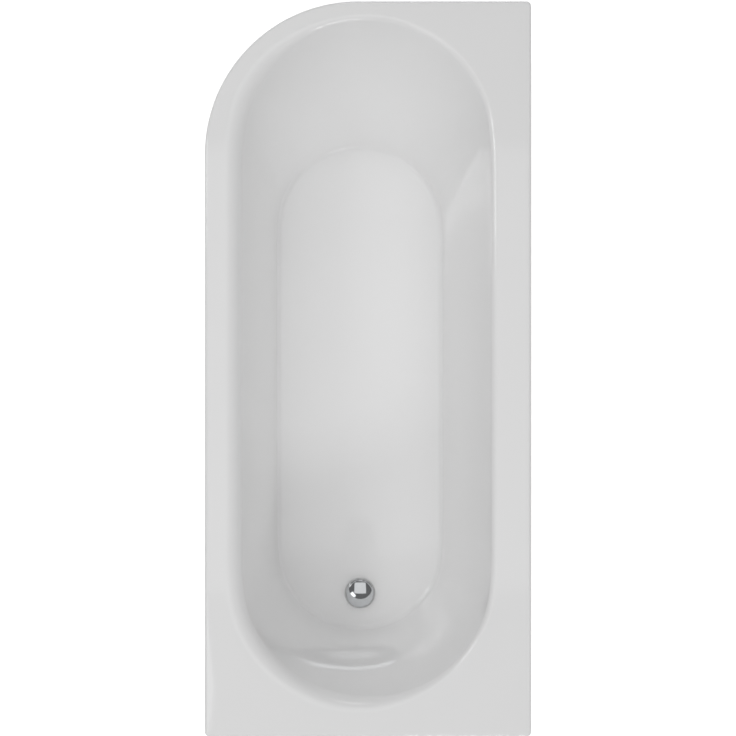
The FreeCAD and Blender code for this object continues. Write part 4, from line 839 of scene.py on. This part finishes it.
def studio_floor(side, glow):
    """Pale paper under the bath: it keeps the shadow, and adds a glow that only the eye and mirrors see."""
    mesh = bpy.data.meshes.new("studio_floor")
    under_feet = -0.0005
    corners = [(x * side, y * side, under_feet) for x, y in ((-1, -1), (1, -1), (1, 1), (-1, 1))]
    mesh.from_pydata(corners, [], [(0, 1, 2, 3)])
    made = bpy.data.materials.new("studio_paper")
    made.use_nodes = True
    tree = made.node_tree
    tree.nodes.clear()
    path = add(tree, "ShaderNodeLightPath").outputs
    seen = {0: path["Is Camera Ray"], 1: path["Is Glossy Ray"]}
    seen = add(tree, "ShaderNodeMath", seen, operation="MAXIMUM").outputs[0]
    seen = {0: seen, 1: path["Is Transmission Ray"]}
    seen = add(tree, "ShaderNodeMath", seen, operation="MAXIMUM").outputs[0]
    strength = add(tree, "ShaderNodeMath", {0: seen, 1: glow}, operation="MULTIPLY").outputs[0]
    paper = add(tree, "ShaderNodeBsdfDiffuse", {"Color": colour("#E8E8E8")})
    light = add(tree, "ShaderNodeEmission", {"Strength": strength})
    both = add(tree, "ShaderNodeAddShader", {0: paper.outputs[0], 1: light.outputs[0]})
    add(tree, "ShaderNodeOutputMaterial", {"Surface": both.outputs[0]})
    mesh.materials.append(made)
    floor = bpy.data.objects.new("studio_floor", mesh)
    bpy.context.scene.collection.objects.link(floor)


def lamp(name, place, aim, size, radiance):
    """Rectangular soft box facing a point, given by the brightness of its face."""
    data = bpy.data.lights.new(name, "AREA")
    data.shape = "RECTANGLE"
    data.size, data.size_y = size
    data.energy = radiance * math.pi * size[0] * size[1]
    made = bpy.data.objects.new(name, data)
    made.location = place
    direction = Vector(aim) - Vector(place)
    made.rotation_euler = direction.to_track_quat("-Z", "Y").to_euler()
    bpy.context.scene.collection.objects.link(made)


def studio_world(horizon, zenith, mirrored):
    """Soft light that grows from the horizon to straight above, with the square of the height.

    The camera sees white. Mirrors see a grey that falls from the top of the studio's walls to a dark ceiling.
    """
    wall_top, ceiling = 0.35, 0.7
    world = bpy.data.worlds.new("studio")
    world.use_nodes = True
    tree = world.node_tree
    tree.nodes.clear()
    direction = add(tree, "ShaderNodeTexCoord").outputs["Generated"]
    up = add(tree, "ShaderNodeSeparateXYZ", {0: direction}).outputs[2]
    up = add(tree, "ShaderNodeClamp", {"Value": up}).outputs[0]
    square = add(tree, "ShaderNodeMath", {0: up, 1: 2.0}, operation="POWER").outputs[0]
    soft = add(tree, "ShaderNodeMapRange", {"Value": square, "To Min": horizon, "To Max": zenith}).outputs[0]
    mirror = {"Value": up, "From Min": wall_top, "From Max": ceiling}
    mirror.update({"To Min": mirrored[0], "To Max": mirrored[1]})
    mirror = add(tree, "ShaderNodeMapRange", mirror, interpolation_type="SMOOTHSTEP").outputs[0]
    path = add(tree, "ShaderNodeLightPath").outputs
    glossy = add(tree, "ShaderNodeMix", {"Factor": path["Is Glossy Ray"], "A": soft, "B": mirror}).outputs[0]
    straight = {0: path["Is Camera Ray"], 1: path["Is Transmission Ray"]}
    straight = add(tree, "ShaderNodeMath", straight, operation="MAXIMUM").outputs[0]
    shown = add(tree, "ShaderNodeMix", {"Factor": straight, "A": glossy, "B": 1.0}).outputs[0]
    white = colour("#FFFFFF")
    sky = add(tree, "ShaderNodeBackground", {"Color": white, "Strength": shown}).outputs[0]
    add(tree, "ShaderNodeOutputWorld", {"Surface": sky})
    bpy.context.scene.world = world


studio_floor(side=30.0, glow=0.72)
studio_world(horizon=0.256, zenith=0.575, mirrored=(0.32, 0.16))
lamp("overhead_box", (0, 0, 4.0), (0, 0, 0), (2.3, 2.2), 0.72)
lamp("key_box", (-1.95, -1.75, 4.54), (0, -0.1, 0.3), (1.3, 1.6), 1.6)
lamp("foot_box", (1.5, -5.5, 4.2), (0, 0.4, 0.3), (2.6, 0.9), 8.8)
lamp("left_box", (-3.4, 1.2, 4.6), (0, -0.1, 0.3), (1.0, 1.4), 6.8)
lamp("right_box", (3.6, -3.6, 4.2), (0, 0.4, 0.3), (1.2, 1.2), 0.9)
lamp("head_box", (0.3, 5.0, 3.8), (0, -0.4, 0.3), (1.8, 1.2), 2.5)

# Camera straight above the middle of the deck, with the head at the top of the picture
FOCAL_PIXELS, PICTURE, FILM, EYE_OVER_RIM = 1301, 736, 36.0, 3.0
eye = bpy.data.cameras.new("camera_above")
eye.sensor_width, eye.lens = FILM, FILM * FOCAL_PIXELS / PICTURE
eye.shift_y = 1 / PICTURE
camera = bpy.data.objects.new("camera_above", eye)
camera.location = (0, 0, RIM * MM + EYE_OVER_RIM)
bpy.context.scene.collection.objects.link(camera)
bpy.context.scene.camera = camera
bpy.context.scene.view_settings.view_transform = "Standard"
